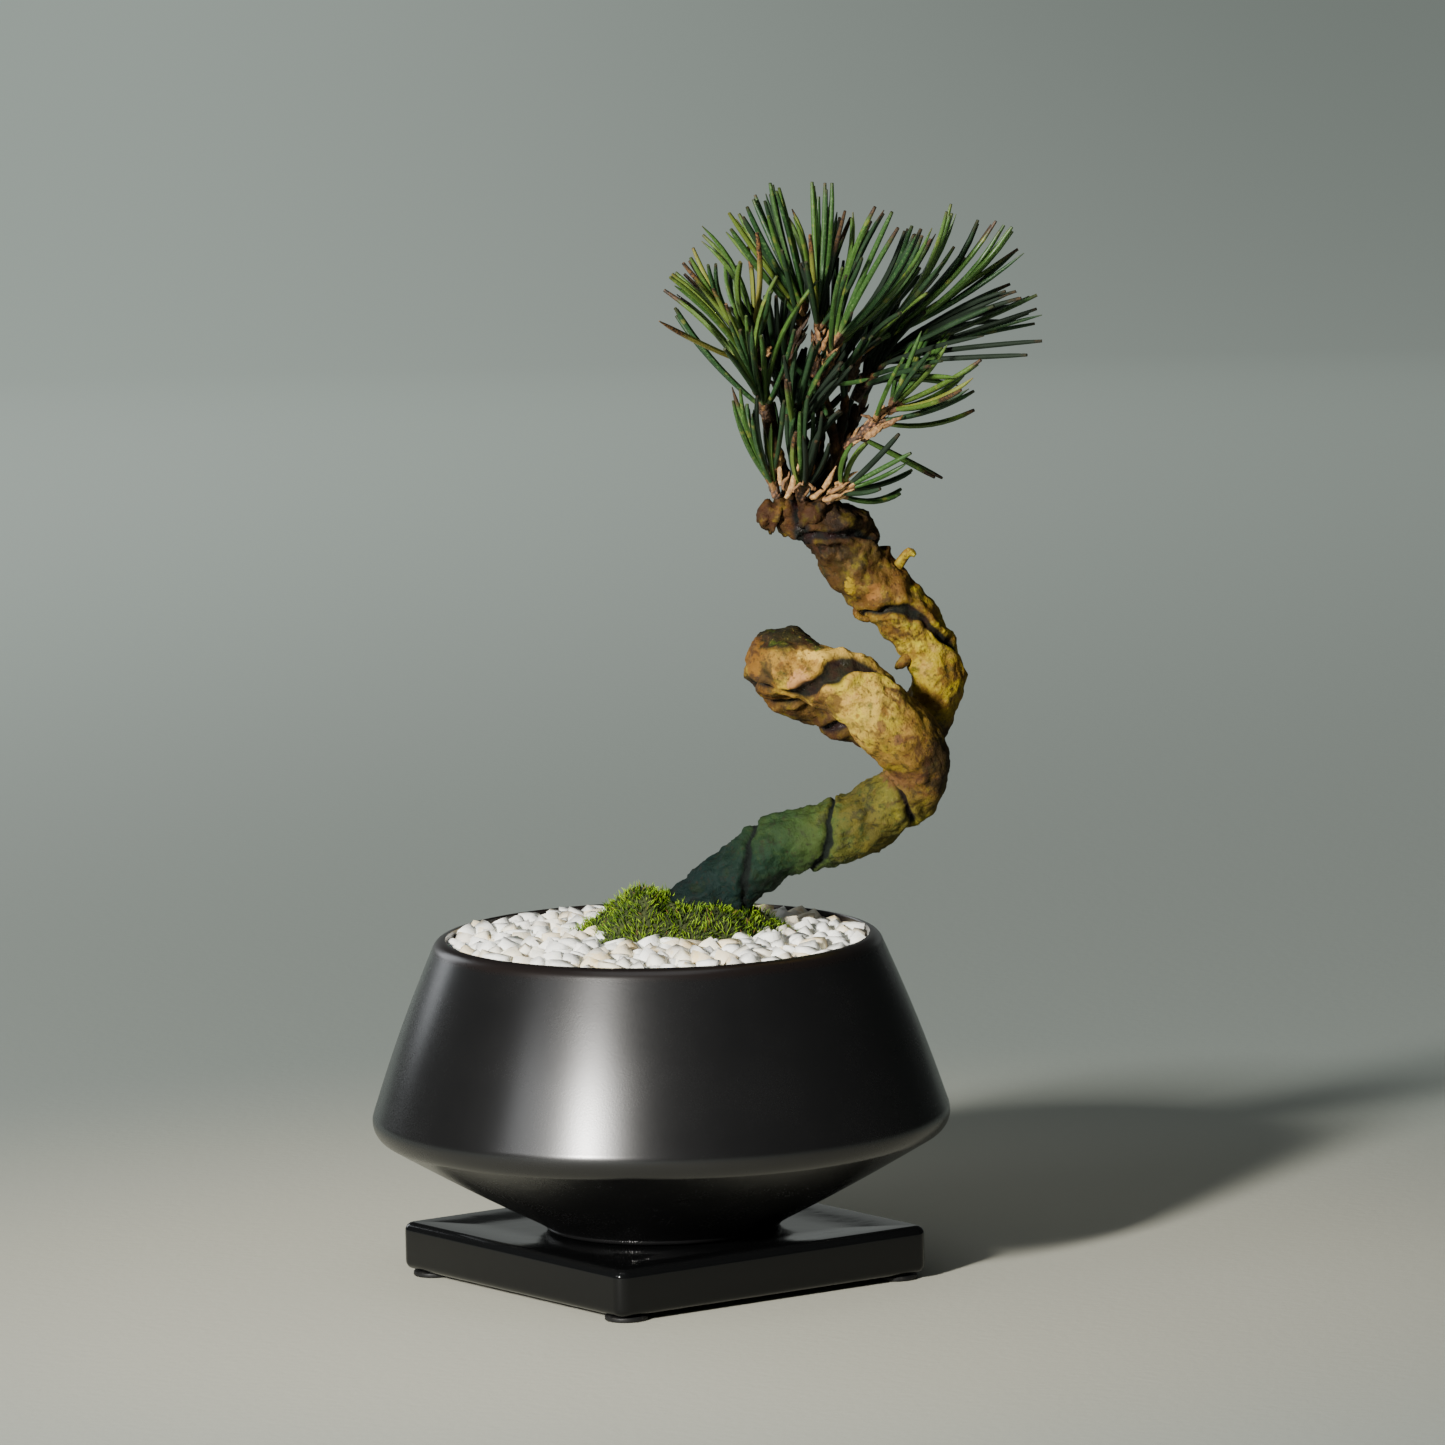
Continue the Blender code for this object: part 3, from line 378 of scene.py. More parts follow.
def arc(centre, radius, start, end, count):
    """Points round an arc, angles in degrees from +radius towards +height."""
    points = []
    for i in range(count + 1):
        angle = math.radians(start + (end - start) * i / count)
        points.append((centre[0] + radius * math.cos(angle), centre[1] + radius * math.sin(angle)))
    return points


def joined(meshes, name):
    shape = bmesh.new()
    for mesh in meshes:
        shape.from_mesh(mesh)
        bpy.data.meshes.remove(mesh)
    return mesh_of(shape, name)


pads = []
for node in PAD_NODES:
    low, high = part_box(node)
    height = high.z - low.z
    side = [(0.0, height)]
    side += arc((PAD_RADIUS - PAD_TOP_EDGE, height - PAD_TOP_EDGE), PAD_TOP_EDGE, 90, 0, 3)
    side += arc((PAD_RADIUS - PAD_FOOT_EDGE, PAD_FOOT_EDGE), PAD_FOOT_EDGE, 0, -90, 5) + [(0.0, 0.0)]
    pads.append(turned(side, PAD_SIDES, "pad", Vector(((low.x + high.x) / 2, (low.y + high.y) / 2, low.z))))
rubber = Finish("smoky_rubber", IOR=1.45, Specular_IOR_Level=0.25)
lint = rubber.blots(0.8, 3.0, 0.55, 0.75)
rubber.feed(Base_Color=rubber.mix(lint, (0.007, 0.007, 0.007), (0.040, 0.038, 0.034)))
rubber.feed(Roughness=0.50 + lint * 0.3)
rubber.bump(rubber.noise(0.4, 2.0), 0.02)
finished("saucer_pads", joined(pads, "saucer_pads"), [rubber], PAD_NODES)


# Pot
# Turned stoneware with a narrow foot, a flat cone up to a rounded belly and a long wall that leans
# in to a soft lip, in a satin black glaze. It is hollow, with a drain hole through its floor.
POT_HEIGHT = 58.9 * MM
BELLY = (57.8 * MM, 22.6 * MM, 4.4 * MM)
LIP_RADIUS = 45.0 * MM
LIP_ROUNDING = 2.7 * MM
MOUTH_RADIUS = 42.2 * MM
WALL_LEAN = 20.5
WALL_SWELL = 0.5 * MM
WALL_THICKNESS = 4.2 * MM
WALL_STEPS = 24
CONE_LEAN = -61
CONE_SAG = 0.35 * MM
CONE_STEPS = 14
FOOT_RADIUS = 23.0 * MM
FOOT_ROUNDING = 0.9 * MM
DRAIN_RADIUS = 6.5 * MM
DRAIN_CHAMFER = 0.8 * MM
FLOOR_HEIGHT = 5.0 * MM
FLOOR_RADIUS = 21.5 * MM
INNER_BELLY = (50.6 * MM, 21.4 * MM)
INNER_WALL_FOOT = 25.0 * MM
INNER_STEPS = 11
LIP_STEPS = 6
POT_SIDES = 144


def wall_radius(height):
    lean = math.radians(WALL_LEAN)
    low = (BELLY[0] - BELLY[2] * (1 - math.cos(lean)), BELLY[1] + BELLY[2] * math.sin(lean))
    high = POT_HEIGHT - LIP_ROUNDING * (1 - math.sin(lean))
    share = (height - low[1]) / (high - low[1])
    swell = WALL_SWELL * math.sin(math.pi * min(max(share, 0), 1))
    return low[0] + (LIP_RADIUS - low[0]) * share + swell


lip = (LIP_RADIUS - LIP_ROUNDING * math.cos(math.radians(WALL_LEAN)), POT_HEIGHT - LIP_ROUNDING)
side = arc(lip, LIP_ROUNDING, 90, WALL_LEAN, 10)
rounding = arc((BELLY[0] - BELLY[2], BELLY[1]), BELLY[2], WALL_LEAN, CONE_LEAN, 22)
wall_top, wall_foot = side[-1][1], rounding[0][1]
for i in range(1, WALL_STEPS):
    height = wall_top + (wall_foot - wall_top) * i / WALL_STEPS
    side.append((wall_radius(height), height))
side += rounding
cone_top = side[-1]
cone_foot = (FOOT_RADIUS + FOOT_ROUNDING, 1.2 * MM)
for i in range(1, CONE_STEPS):
    share = i / CONE_STEPS
    radius = cone_top[0] + (cone_foot[0] - cone_top[0]) * share
    sag = CONE_SAG * math.sin(math.pi * share)
    side.append((radius, cone_top[1] + (cone_foot[1] - cone_top[1]) * share - sag))
side += arc((FOOT_RADIUS - 0.2 * MM, FOOT_ROUNDING), FOOT_ROUNDING, 0, -90, 6)
side += [(DRAIN_RADIUS + DRAIN_CHAMFER, 0.0), (DRAIN_RADIUS, DRAIN_CHAMFER)]
side += [(DRAIN_RADIUS, FLOOR_HEIGHT - DRAIN_CHAMFER), (DRAIN_RADIUS + DRAIN_CHAMFER, FLOOR_HEIGHT)]
side += [(FLOOR_RADIUS, FLOOR_HEIGHT), INNER_BELLY]
for i in range(INNER_STEPS + 1):
    height = INNER_WALL_FOOT + (lip[1] - INNER_WALL_FOOT) * i / INNER_STEPS
    side.append((max(MOUTH_RADIUS, wall_radius(height) - WALL_THICKNESS), height))
for i in range(1, LIP_STEPS):
    angle = math.radians(90 * i / LIP_STEPS)
    side.append((lip[0] - (lip[0] - MOUTH_RADIUS) * math.cos(angle), lip[1] + LIP_ROUNDING * math.sin(angle)))
pot_mesh = turned(side, POT_SIDES, "pot", POT_AXIS + Vector((0, 0, pot_low.z)))

satin = Finish("satin_black_glaze", IOR=1.5, Specular_IOR_Level=0.58)
cloud = satin.noise(14.0, 3.0)
fine = satin.noise(0.35, 2.0)
height = satin.axis(satin.mm, "Z")
worn = satin.mask(height + satin.noise(5.0) * 0.8, (pot_high.z - 2.4 * MM) / MM, (pot_high.z - 0.9 * MM) / MM)
black = satin.mix(cloud, (0.0040, 0.0041, 0.0043), (0.0070, 0.0070, 0.0073))
satin.feed(Base_Color=satin.mix(worn, black, (0.007, 0.005, 0.0045)))
satin.feed(Roughness=0.225 + cloud * 0.04 + fine * 0.04 + worn * 0.02)
satin.bump(fine, 0.006)
finished("pot_glazed", pot_mesh, [satin], ["pot"])


# Drain screen and soil
# A disc of black plastic mesh keeps the gritty potting mix from washing out of the drain hole. The
# mix is dark bark and volcanic grit, hidden under the gravel.
screen = Finish("black_mesh_plastic", Roughness=0.55)
screen.feed(Base_Color=screen.mix(screen.noise(1.0), (0.010, 0.010, 0.011), (0.030, 0.030, 0.030)))
screen.bump(screen.noise(0.3), 0.03)
soil = Finish("potting_mix", Roughness=0.95)
crumbs = soil.add("ShaderNodeTexVoronoi", None, {"Vector": soil.mm, "Scale": 0.45})
soil.feed(Base_Color=soil.mix(soil.noise(3.0, 5.0), (0.022, 0.014, 0.009), (0.15, 0.10, 0.060)))
soil.bump(crumbs + soil.noise(0.8, 3.0) * 0.4, 1.0)
for name, finish in (("drain_screen", screen), ("soil", soil)):
    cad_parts[name].data.materials.clear()
    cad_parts[name].data.materials.append(finish.material)


# Gravel
# White quartz gravel of 3 to 4 mm, tumbled so that its corners are dull, some grains stained ochre.
# Grains lie two deep in a low dome over the soil, each a warped block turned at random.
GRAVEL_EDGE_Z = pot_high.z - 1.5 * MM
GRAVEL_DOME = 1.7 * MM
GRAIN_SIZE = 4.7 * MM
GRAIN_BLOCK = (1.0, 0.90, 0.80)
GRAIN_WARP = 1.25 * MM
GRAIN_DULLNESS = 0.25
GRAIN_DENSITY = 400000.0
GRAVEL_MARGIN = 1.6 * MM
GRAVEL_CLEARING = 0.86
BED_MARGIN = 0.3 * MM
BED_DROP = 2.4 * MM
# A layer gives its seed, how far it lies below the dome's top, its spacing and its nodes.
GRAVEL_LAYERS = {
    "gravel_grains": (1, 0.8 * MM, 3.55 * MM, ["gravel"]),
    "gravel_underlayer": (2, 2.2 * MM, 3.8 * MM, []),
}
MOSS_CENTRE = Vector((POT_AXIS.x + 4.2 * MM, POT_AXIS.y, 0.0))
MOSS_HALVES = (21.3 * MM, 14.2 * MM)


class Growth(Graph):
    """A Geometry Nodes tree with named inputs, kept as a recipe for one piece or many."""

    def __init__(self, name, **inputs):
        super().__init__(bpy.data.node_groups.new(name, "GeometryNodeTree"))
        self.tree.interface.new_socket("Geometry", in_out="INPUT", socket_type="NodeSocketGeometry")
        self.tree.interface.new_socket("Geometry", in_out="OUTPUT", socket_type="NodeSocketGeometry")
        kinds = {float: "NodeSocketFloat", int: "NodeSocketInt", bpy.types.Material: "NodeSocketMaterial"}
        for label, value in inputs.items():
            socket = self.tree.interface.new_socket(label, in_out="INPUT", socket_type=kinds[type(value)])
            socket.default_value = value
        self.entry = self.tree.nodes.new("NodeGroupInput")

    def input(self, label):
        return Wire(self, self.entry.outputs[label])

    def named(self, name):
        return self.add("GeometryNodeInputNamedAttribute", {"data_type": "FLOAT"}, {"Name": name})

    def noise(self, scale, output=0):
        """Smooth noise over the points' places, which are taken in millimetres."""
        place = self.vector("SCALE", self.add("GeometryNodeInputPosition"), 1 / MM)
        inputs = {"Vector": place, "Scale": scale, "Detail": 1.0}
        return self.add("ShaderNodeTexNoise", None, inputs, output)

    def random(self, low, high, seed):
        """A value or vector drawn for each element, by the tree's seed and one of its own."""
        kind, first, output = ("FLOAT", 2, 1) if isinstance(low, float) else ("FLOAT_VECTOR", 0, 0)
        inputs = {first: low, first + 1: high, "Seed": self.input("Seed") + seed}
        return self.add("FunctionNodeRandomValue", {"data_type": kind}, inputs, output)

    def scatter(self, density):
        """Points over the base, no closer than the tree's spacing, and the base's normals there."""
        inputs = {"Mesh": self.input("Geometry"), "Distance Min": self.input("Spacing")}
        inputs.update({"Density Max": density, "Seed": self.input("Seed")})
        settings = {"distribute_method": "POISSON"}
        points = self.add("GeometryNodeDistributePointsOnFaces", settings, inputs)
        return points, Wire(self, points.socket.node.outputs["Normal"])

    def plant(self, points, thing, turn, scale):
        inputs = {"Points": points, "Instance": thing, "Rotation": turn, "Scale": scale}
        return self.add("GeometryNodeInstanceOnPoints", None, inputs)

    def store(self, geometry, name, value, domain="POINT"):
        settings = {"data_type": "FLOAT", "domain": domain}
        inputs = {"Geometry": geometry, "Name": name, "Value": value}
        return self.add("GeometryNodeStoreNamedAttribute", settings, inputs)

    def close(self, geometry, coats):
        """End in real geometry and its finishes. A coat is a material's input and where it goes."""
        geometry = self.add("GeometryNodeRealizeInstances", None, {0: geometry})
        for label, where in coats.items():
            coat = {0: geometry, "Selection": where, "Material": self.input(label)}
            geometry = self.add("GeometryNodeSetMaterial", None, coat)
        leave = self.tree.nodes.new("NodeGroupOutput")
        self.join(geometry, leave.inputs[0])

    def grow(self, base, name, **values):
        """Run the tree on a mesh and take the result as a plain mesh."""
        thing = link(bpy.data.objects.new(name, base))
        step = thing.modifiers.new("grow", "NODES")
        step.node_group = self.tree
        for item in self.tree.interface.items_tree:
            if item.in_out == "INPUT" and item.name in values:
                step[item.identifier] = values[item.name]
        bpy.context.view_layer.update()
        depsgraph = bpy.context.evaluated_depsgraph_get()
        mesh = bpy.data.meshes.new_from_object(
            thing.evaluated_get(depsgraph), preserve_all_data_layers=True, depsgraph=depsgraph
        )
        bpy.data.objects.remove(thing)
        mesh.name = name
        return mesh


def gravel_surface(x, y):
    """Height of the gravel's dome at a point given from the pot's axis."""
    spread = min(1.0, math.hypot(x, y) / MOUTH_RADIUS)
    return GRAVEL_EDGE_Z + GRAVEL_DOME * (1 - spread * spread)


def moss_edge(angle):
    return 1 + 0.07 * math.sin(3 * angle + 0.6) + 0.05 * math.sin(5 * angle)


def moss_reach(x, y):
    """A point's distance from the moss's middle, as a share of the way to its wavy edge."""
    across = (x + POT_AXIS.x - MOSS_CENTRE.x) / MOSS_HALVES[0]
    deep = y / MOSS_HALVES[1]
    return math.hypot(across, deep) / moss_edge(math.atan2(deep, across))


def round_sheet(rings, spokes, point_at):
    """Faces in rings round a middle. point_at gives a point from its angle and its ring."""
    shape = bmesh.new()
    rows = []
    for ring in range(1, rings + 1):
        angles = [math.tau * spoke / spokes for spoke in range(spokes)]
        rows.append([shape.verts.new(point_at(angle, ring)) for angle in angles])
    middle = shape.verts.new(point_at(0.0, 0))
    for spoke in range(spokes):
        after = (spoke + 1) % spokes
        shape.faces.new((middle, rows[0][spoke], rows[0][after]))
        for low, high in zip(rows, rows[1:]):
            shape.faces.new((low[spoke], high[spoke], high[after], low[after]))
    return shape


def gravel_sheet(name, reach, drop, clear, rings=16, spokes=72):
    """The gravel's dome lowered by drop, left open under the moss as far as clear of its reach."""

    def point_at(angle, ring):
        x = reach * ring / rings * math.cos(angle)
        y = reach * ring / rings * math.sin(angle)
        return POT_AXIS.x + x, POT_AXIS.y + y, gravel_surface(x, y) - drop

    shape = round_sheet(rings, spokes, point_at)
    gone = []
    for face in shape.faces:
        spot = face.calc_center_median() - POT_AXIS
        if moss_reach(spot.x, spot.y) <= clear:
            gone.append(face)
    bmesh.ops.delete(shape, geom=gone, context="FACES")
    return mesh_of(shape, name)


quartz = Finish(
    "white_quartz", IOR=1.52, Specular_IOR_Level=0.4,
    Subsurface_Weight=0.10, Subsurface_Radius=(0.8, 0.7, 0.6), Subsurface_Scale=0.001,
)
tint = quartz.attribute("tint")
kind = quartz.ramp(tint, [
    (0.0, (0.93, 0.94, 0.89)), (0.40, (0.90, 0.90, 0.83)), (0.62, (0.80, 0.81, 0.76)),
    (0.76, (0.90, 0.85, 0.69)), (0.90, (0.84, 0.72, 0.47)), (1.0, (0.70, 0.69, 0.64)),
])
stain = quartz.blots(4.0, 3.0, 0.56, 0.68) * quartz.mask(tint, 0.35, 0.60)
veined = quartz.mix(quartz.blots(1.6, 4.0, 0.52, 0.72) * 0.4, kind, (0.66, 0.64, 0.61))
quartz.feed(Base_Color=quartz.mix(stain * 0.7, veined, (0.77, 0.59, 0.28)))
quartz.feed(Roughness=0.50 + quartz.noise(0.8) * 0.25)
quartz.bump(quartz.noise(0.9, 4.0), 0.12)

grit = Growth("gravel_layer", Spacing=3.6 * MM, Size=GRAIN_SIZE, Seed=1, Finish=quartz.material)
sites = grit.scatter(GRAIN_DENSITY)[0]
sizes = {"Size": GRAIN_BLOCK, "Vertices X": 3, "Vertices Y": 3, "Vertices Z": 3}
block = grit.add("GeometryNodeMeshCube", None, sizes)
turn = grit.random((-3.14, -3.14, -3.14), (3.14, 3.14, 3.14), 2)
turn = grit.add("FunctionNodeEulerToRotation", None, {0: turn})
grown = grit.random(0.78, 1.16, 3) * grit.input("Size")
stretch = grit.random((0.88, 0.88, 0.88), (1.12, 1.12, 1.12), 4)
grains = grit.plant(sites, block, turn, grit.vector("SCALE", stretch, grown))
grains = grit.store(grains, "tint", grit.random(0.0, 1.0, 5), "INSTANCE")
real = grit.add("GeometryNodeRealizeInstances", None, {0: grains})
wild = grit.vector("SUBTRACT", grit.noise(0.42, "Color"), (0.5, 0.5, 0.5))
wild = grit.vector("SCALE", wild, GRAIN_WARP)
real = grit.add("GeometryNodeSetPosition", None, {"Geometry": real, "Offset": wild})
grit.close(real, {"Finish": True})


def dulled(mesh):
    """Dull a mesh's corners by smoothing them in place."""
    shape = bmesh.new()
    shape.from_mesh(mesh)
    axes = {"use_axis_x": True, "use_axis_y": True, "use_axis_z": True}
    for _ in range(2):
        bmesh.ops.smooth_vert(shape, verts=shape.verts, factor=GRAIN_DULLNESS, **axes)
    shape.to_mesh(mesh)
    shape.free()
    return mesh


for name, (seed, drop, spacing, nodes) in GRAVEL_LAYERS.items():
    base = gravel_sheet("gravel_sites", MOUTH_RADIUS - GRAVEL_MARGIN, drop, GRAVEL_CLEARING)
    grains = dulled(grit.grow(base, "gravel_layer", Seed=seed, Spacing=spacing))
    finished(name, grains, [quartz], nodes, 0)
bed = gravel_sheet("gravel_bed", MOUTH_RADIUS - BED_MARGIN, BED_DROP, 0.0)
finished("gravel_bed", bed, [soil], [])


# Moss
# A cushion of living moss pressed round the foot of the trunk. Its fine shoots stand up in tufts,
# bright at the tips and brown where they have dried, over a dark felted mat.
MOSS_HEIGHT = 5.6 * MM
MOSS_FOOTING = 0.4 * MM
MAT_RINGS = 30
MAT_SPOKES = 96
TUFT_DENSITY = 8000000.0


def bell(value, width):
    return math.exp(-((value / width) ** 2))


def lump(place, size, shift=(0, 0, 0)):
    """Smooth noise between -1 and 1, with lumps of about a size."""
    return noise.noise(place / size + Vector(shift))


def moss_height(x, y):
    """Height of the felted mat at a point given from the pot's axis."""
    share = moss_reach(x, y)
    mounds = 1 + 0.75 * bell(x + 4 * MM, 6 * MM) + 0.32 * bell(x - 15 * MM, 7 * MM)
    mound = MOSS_HEIGHT * max(0.0, 1 - share**2.6) * mounds
    lumps = lump(Vector((x, y, 0)), 3.4 * MM) * 1.6 * MM + lump(Vector((x, y, 9)), 1.5 * MM) * 0.7 * MM
    return gravel_surface(x, y) - MOSS_FOOTING + mound + lumps * max(0.0, 1 - share**4)


def mat_point(angle, ring):
    edge = moss_edge(angle)
    x = MOSS_CENTRE.x - POT_AXIS.x + MOSS_HALVES[0] * edge * math.cos(angle) * ring / MAT_RINGS
    y = MOSS_HALVES[1] * edge * math.sin(angle) * ring / MAT_RINGS
    return POT_AXIS.x + x, POT_AXIS.y + y, moss_height(x, y)


mat_mesh = mesh_of(round_sheet(MAT_RINGS, MAT_SPOKES, mat_point), "moss_mat")

felt = Finish("moss_felt", Roughness=0.95)
felt.feed(Base_Color=felt.mix(felt.noise(2.0, 4.0), (0.012, 0.026, 0.003), (0.045, 0.050, 0.008)))
felt.bump(felt.noise(0.6, 4.0), 0.5)
leaf = Finish("moss_shoots", Roughness=0.55, Specular_IOR_Level=0.2)
height = leaf.attribute("height")
tint = leaf.attribute("tint")
patch = leaf.noise(5.0, 2.0)
tip = leaf.mix(leaf.mask(patch + tint * 0.3, 0.46, 0.80), (0.040, 0.100, 0.002), (0.29, 0.48, 0.008))
tip = leaf.mix(leaf.mask(tint, 0.95, 0.97), tip, (0.24, 0.12, 0.04))
foot = leaf.mix(patch, (0.006, 0.012, 0.001), (0.022, 0.040, 0.003))
leaf.feed(Base_Color=leaf.mix(leaf.mask(height, 0.1, 0.95), foot, tip))

shoots = Growth(
    "moss_tufts", Spacing=0.52 * MM, Length=1.75 * MM, Thickness=0.20 * MM, Seed=1, Finish=leaf.material
)
points, normal = shoots.scatter(TUFT_DENSITY)
sizes = {"Vertices": 3, "Side Segments": 3, "Radius Top": 0.08, "Radius Bottom": 1.0, "Depth": 1.0}
spike = shoots.add("GeometryNodeMeshCone", {"fill_type": "NONE"}, sizes)
rise = shoots.axis(shoots.add("GeometryNodeInputPosition"), "Z")
spike = shoots.store(spike, "height", rise)
droop = shoots.add("ShaderNodeCombineXYZ", None, {"X": rise * rise * 1.4})
spike = shoots.add("GeometryNodeSetPosition", None, {"Geometry": spike, "Offset": droop})
spread = shoots.random((-0.75, -0.75, -0.20), (0.75, 0.75, 0.35), 2)
combed = shoots.vector("SUBTRACT", shoots.noise(0.36, "Color"), (0.5, 0.5, 0.40))
combed = shoots.vector("SCALE", combed, 5.0)
facing = shoots.vector("ADD", shoots.vector("ADD", normal, spread), combed)
turn = shoots.add("FunctionNodeAlignRotationToVector", {"axis": "Z"}, {"Vector": facing})
roll = shoots.add("ShaderNodeCombineXYZ", None, {"Z": shoots.random(0.0, 6.28, 3)})
roll = shoots.add("FunctionNodeEulerToRotation", None, {0: roll})
turn = shoots.add("FunctionNodeRotateRotation", {"rotation_space": "LOCAL"}, {0: turn, 1: roll})
tall = shoots.random(0.55, 1.1, 4) * shoots.input("Length") * (0.1 + shoots.noise(0.38) * 1.8)
wide = shoots.random(0.7, 1.2, 5) * shoots.input("Thickness")
scale = shoots.add("ShaderNodeCombineXYZ", None, {"X": wide, "Y": wide, "Z": tall})
blades = shoots.plant(points, spike, turn, scale)
blades = shoots.store(blades, "tint", shoots.random(0.0, 1.0, 6), "INSTANCE")
shoots.close(blades, {"Finish": True})
tufts = shoots.grow(mat_mesh.copy(), "moss_tufts")
finished("moss_mat", mat_mesh, [felt], ["moss"], 0)
finished("moss_tufts", tufts, [leaf], [], 0)


# Trunk
# Pine wood grown round a training wire, which has been taken off and has left a winding scar. Its
# bark is thin and ochre, green with algae near the moss, with resin in the scar and dark cracks. Its
# colour also carries painted shade along the trunk, on two patches and in a cleft at its top.
SCAR_DEPTH = 0.27
TRUNK_SIDES = 112
TRUNK_STEP = 0.5 * MM
TRUNK_TAIL = 2.6 * MM
CURVE_STEPS = 24
PLATE_JOINT = 0.30
SOIL_LINE = 16 * MM
TWIG_SIDES = 28
TWIG_END = (0.93, 0.78, 0.45)
# Twigs and stubs take their bark colour and their painted shade from the trunk's ramps at these places.
TWIG_AGE_AND_SHADE = 0.955
STUB_AGES_AND_SHADE = {"scar_stub": 0.80, "low_stub": 0.87, "peel": 0.86, "burl_left": 0.985}
# A row is a point of the trunk's middle and its radius there.
TRUNK_ROUTE = [
    (-2.5, 3.0, 50.0, 6.0), (0.5, 3.0, 60.0, 6.9), (3.6, 3.0, 68.0, 7.3), (12.0, 2.5, 76.7, 6.9),
    (18.2, 2.0, 81.9, 6.3), (25.9, 1.5, 87.2, 6.0), (32.9, 1.0, 88.4, 6.3), (38.9, 0.8, 89.9, 6.4),
    (46.5, -0.4, 94.7, 6.2), (52.0, -3.0, 99.6, 6.1), (52.4, -5.8, 105.0, 6.5), (49.6, -7.4, 109.4, 6.9),
    (45.3, -8.2, 113.7, 7.0), (40.8, -8.3, 118.0, 6.5), (35.4, -7.8, 121.3, 5.8), (30.6, -6.5, 123.0, 6.0),
    (26.8, -3.6, 124.3, 6.5), (25.4, 0.6, 123.6, 6.7), (26.6, 5.0, 120.6, 6.5), (30.2, 7.8, 116.8, 6.0),
    (35.5, 8.8, 113.9, 5.7), (41.0, 9.0, 111.3, 5.6), (47.2, 8.6, 109.3, 5.6), (52.8, 8.0, 110.2, 5.5),
    (56.2, 7.4, 114.4, 5.4), (57.0, 6.8, 120.2, 5.5), (54.4, 6.2, 126.6, 5.4), (51.0, 5.6, 132.0, 5.7),
    (46.8, 5.0, 136.4, 6.2), (42.4, 4.2, 141.0, 6.0), (39.2, 3.2, 146.4, 6.2), (35.0, 2.0, 150.6, 6.2),
    (29.6, 0.9, 152.6, 4.8), (24.8, 0.0, 152.4, 3.4),
]
# A row gives a length along the trunk and how often the wire has gone round it by then.
SCAR_TURNS = [
    (0, 0), (20, 0.02), (26, 0.6), (30, 0.75), (40.3, 1.02), (47, 1.27), (51, 1.7), (55, 1.85),
    (58, 2.02), (61.5, 2.27), (68, 2.7), (75, 2.85), (77.5, 3.0), (79.5, 3.15), (84, 3.4), (96, 3.58),
    (100, 3.64), (105, 3.71), (110, 3.87), (113, 4.06), (118, 4.12), (122, 4.05), (126, 3.98),
    (129, 4.0), (133, 4.4), (140, 4.9), (147, 5.3), (153, 5.6), (160, 5.72), (170, 5.9),
    (174.5, 5.99), (180, 6.14), (184, 6.18), (190, 6.24), (192.5, 6.46), (196, 6.75), (201, 6.97),
    (206.5, 7.15), (211, 7.24), (215, 7.42), (222, 7.8),
]
# A twig or stub gives its points, then its radius at the foot and at the end.
TWIGS = {
    "left_low": ([(27.0, -0.5, 154.0), (25.8, -1.6, 157.4)], 1.6, 1.2),
    "left": ([(28.0, 0.8, 154.0), (27.2, -0.4, 162.0), (25.2, -2.0, 168.0), (23.4, -3.0, 173.4)], 1.5, 0.9),
    "left_high": ([(25.9, -1.0, 166.0), (25.0, 0.8, 173.0), (23.0, 1.0, 181.6)], 1.0, 0.9),
    "middle": ([(30.5, 1.0, 154.0), (30.0, 1.6, 163.0), (28.6, 2.8, 172.0), (27.5, 3.2, 180.0)], 1.5, 0.9),
    "front": ([(30.1, 1.0, 160.0), (29.6, -2.6, 164.4), (29.5, -5.4, 168.0)], 0.9, 0.9),
    "right": (
        [(34.2, 2.2, 151.6), (37.4, 1.6, 161.0), (37.2, 0.6, 169.0), (34.6, -0.8, 176.0),
         (33.5, -1.0, 180.6)], 1.6, 0.9,
    ),
    "right_front": ([(37.3, 0.7, 168.6), (36.6, -2.6, 173.4), (35.2, -4.0, 177.6)], 0.9, 0.9),
    "right_high": ([(37.4, 1.2, 165.0), (38.8, 2.0, 171.0), (39.8, 2.2, 177.0)], 1.1, 0.9),
    "far_right": ([(37.5, 1.4, 162.6), (40.4, 4.6, 168.4), (41.8, 6.8, 174.4)], 1.1, 0.9),
    "pink": ([(37.3, 1.5, 160.0), (38.6, -1.8, 163.8), (39.4, -3.8, 167.4)], 1.2, 0.9),
    "low_right": ([(35.5, -0.5, 151.0), (33.8, -3.8, 154.6), (35.0, -5.4, 156.2)], 1.7, 1.2),
    "low_middle": ([(31.5, 0.0, 152.5), (30.6, -3.0, 157.0)], 1.6, 1.2),
    "back": ([(33.0, 4.0, 151.0), (34.0, 8.0, 160.0), (34.6, 9.6, 168.0), (34.7, 10.0, 173.6)], 1.6, 0.9),
    "back_left": ([(34.2, 8.4, 162.0), (31.4, 9.2, 167.0), (29.4, 9.2, 172.0)], 1.0, 0.9),
    "back_right": ([(33.9, 7.6, 158.6), (36.6, 8.8, 162.0), (38.4, 9.2, 165.6)], 1.0, 0.9),
    "scar_stub": ([(45.2, 4.6, 138.8), (48.6, 3.4, 141.0), (51.8, 2.6, 144.9), (53.0, 2.4, 144.2)], 1.2, 1.0),
    "low_stub": ([(52.8, 4.0, 125.0), (48.6, 2.2, 121.6)], 1.5, 1.0),
    "burl_left": ([(25.5, 0.0, 152.8), (21.8, -0.6, 154.2)], 3.5, 2.7),
    "burl_top": ([(32.0, -1.5, 152.6), (33.2, -4.2, 155.0)], 3.2, 2.2),
    "peel": (
        [(44.4, 3.6, 135.2), (41.9, 3.4, 134.4), (41.0, 3.2, 132.8), (42.6, 3.0, 131.6),
         (45.6, 3.2, 132.0)], 0.9, 0.7,
    ),
}


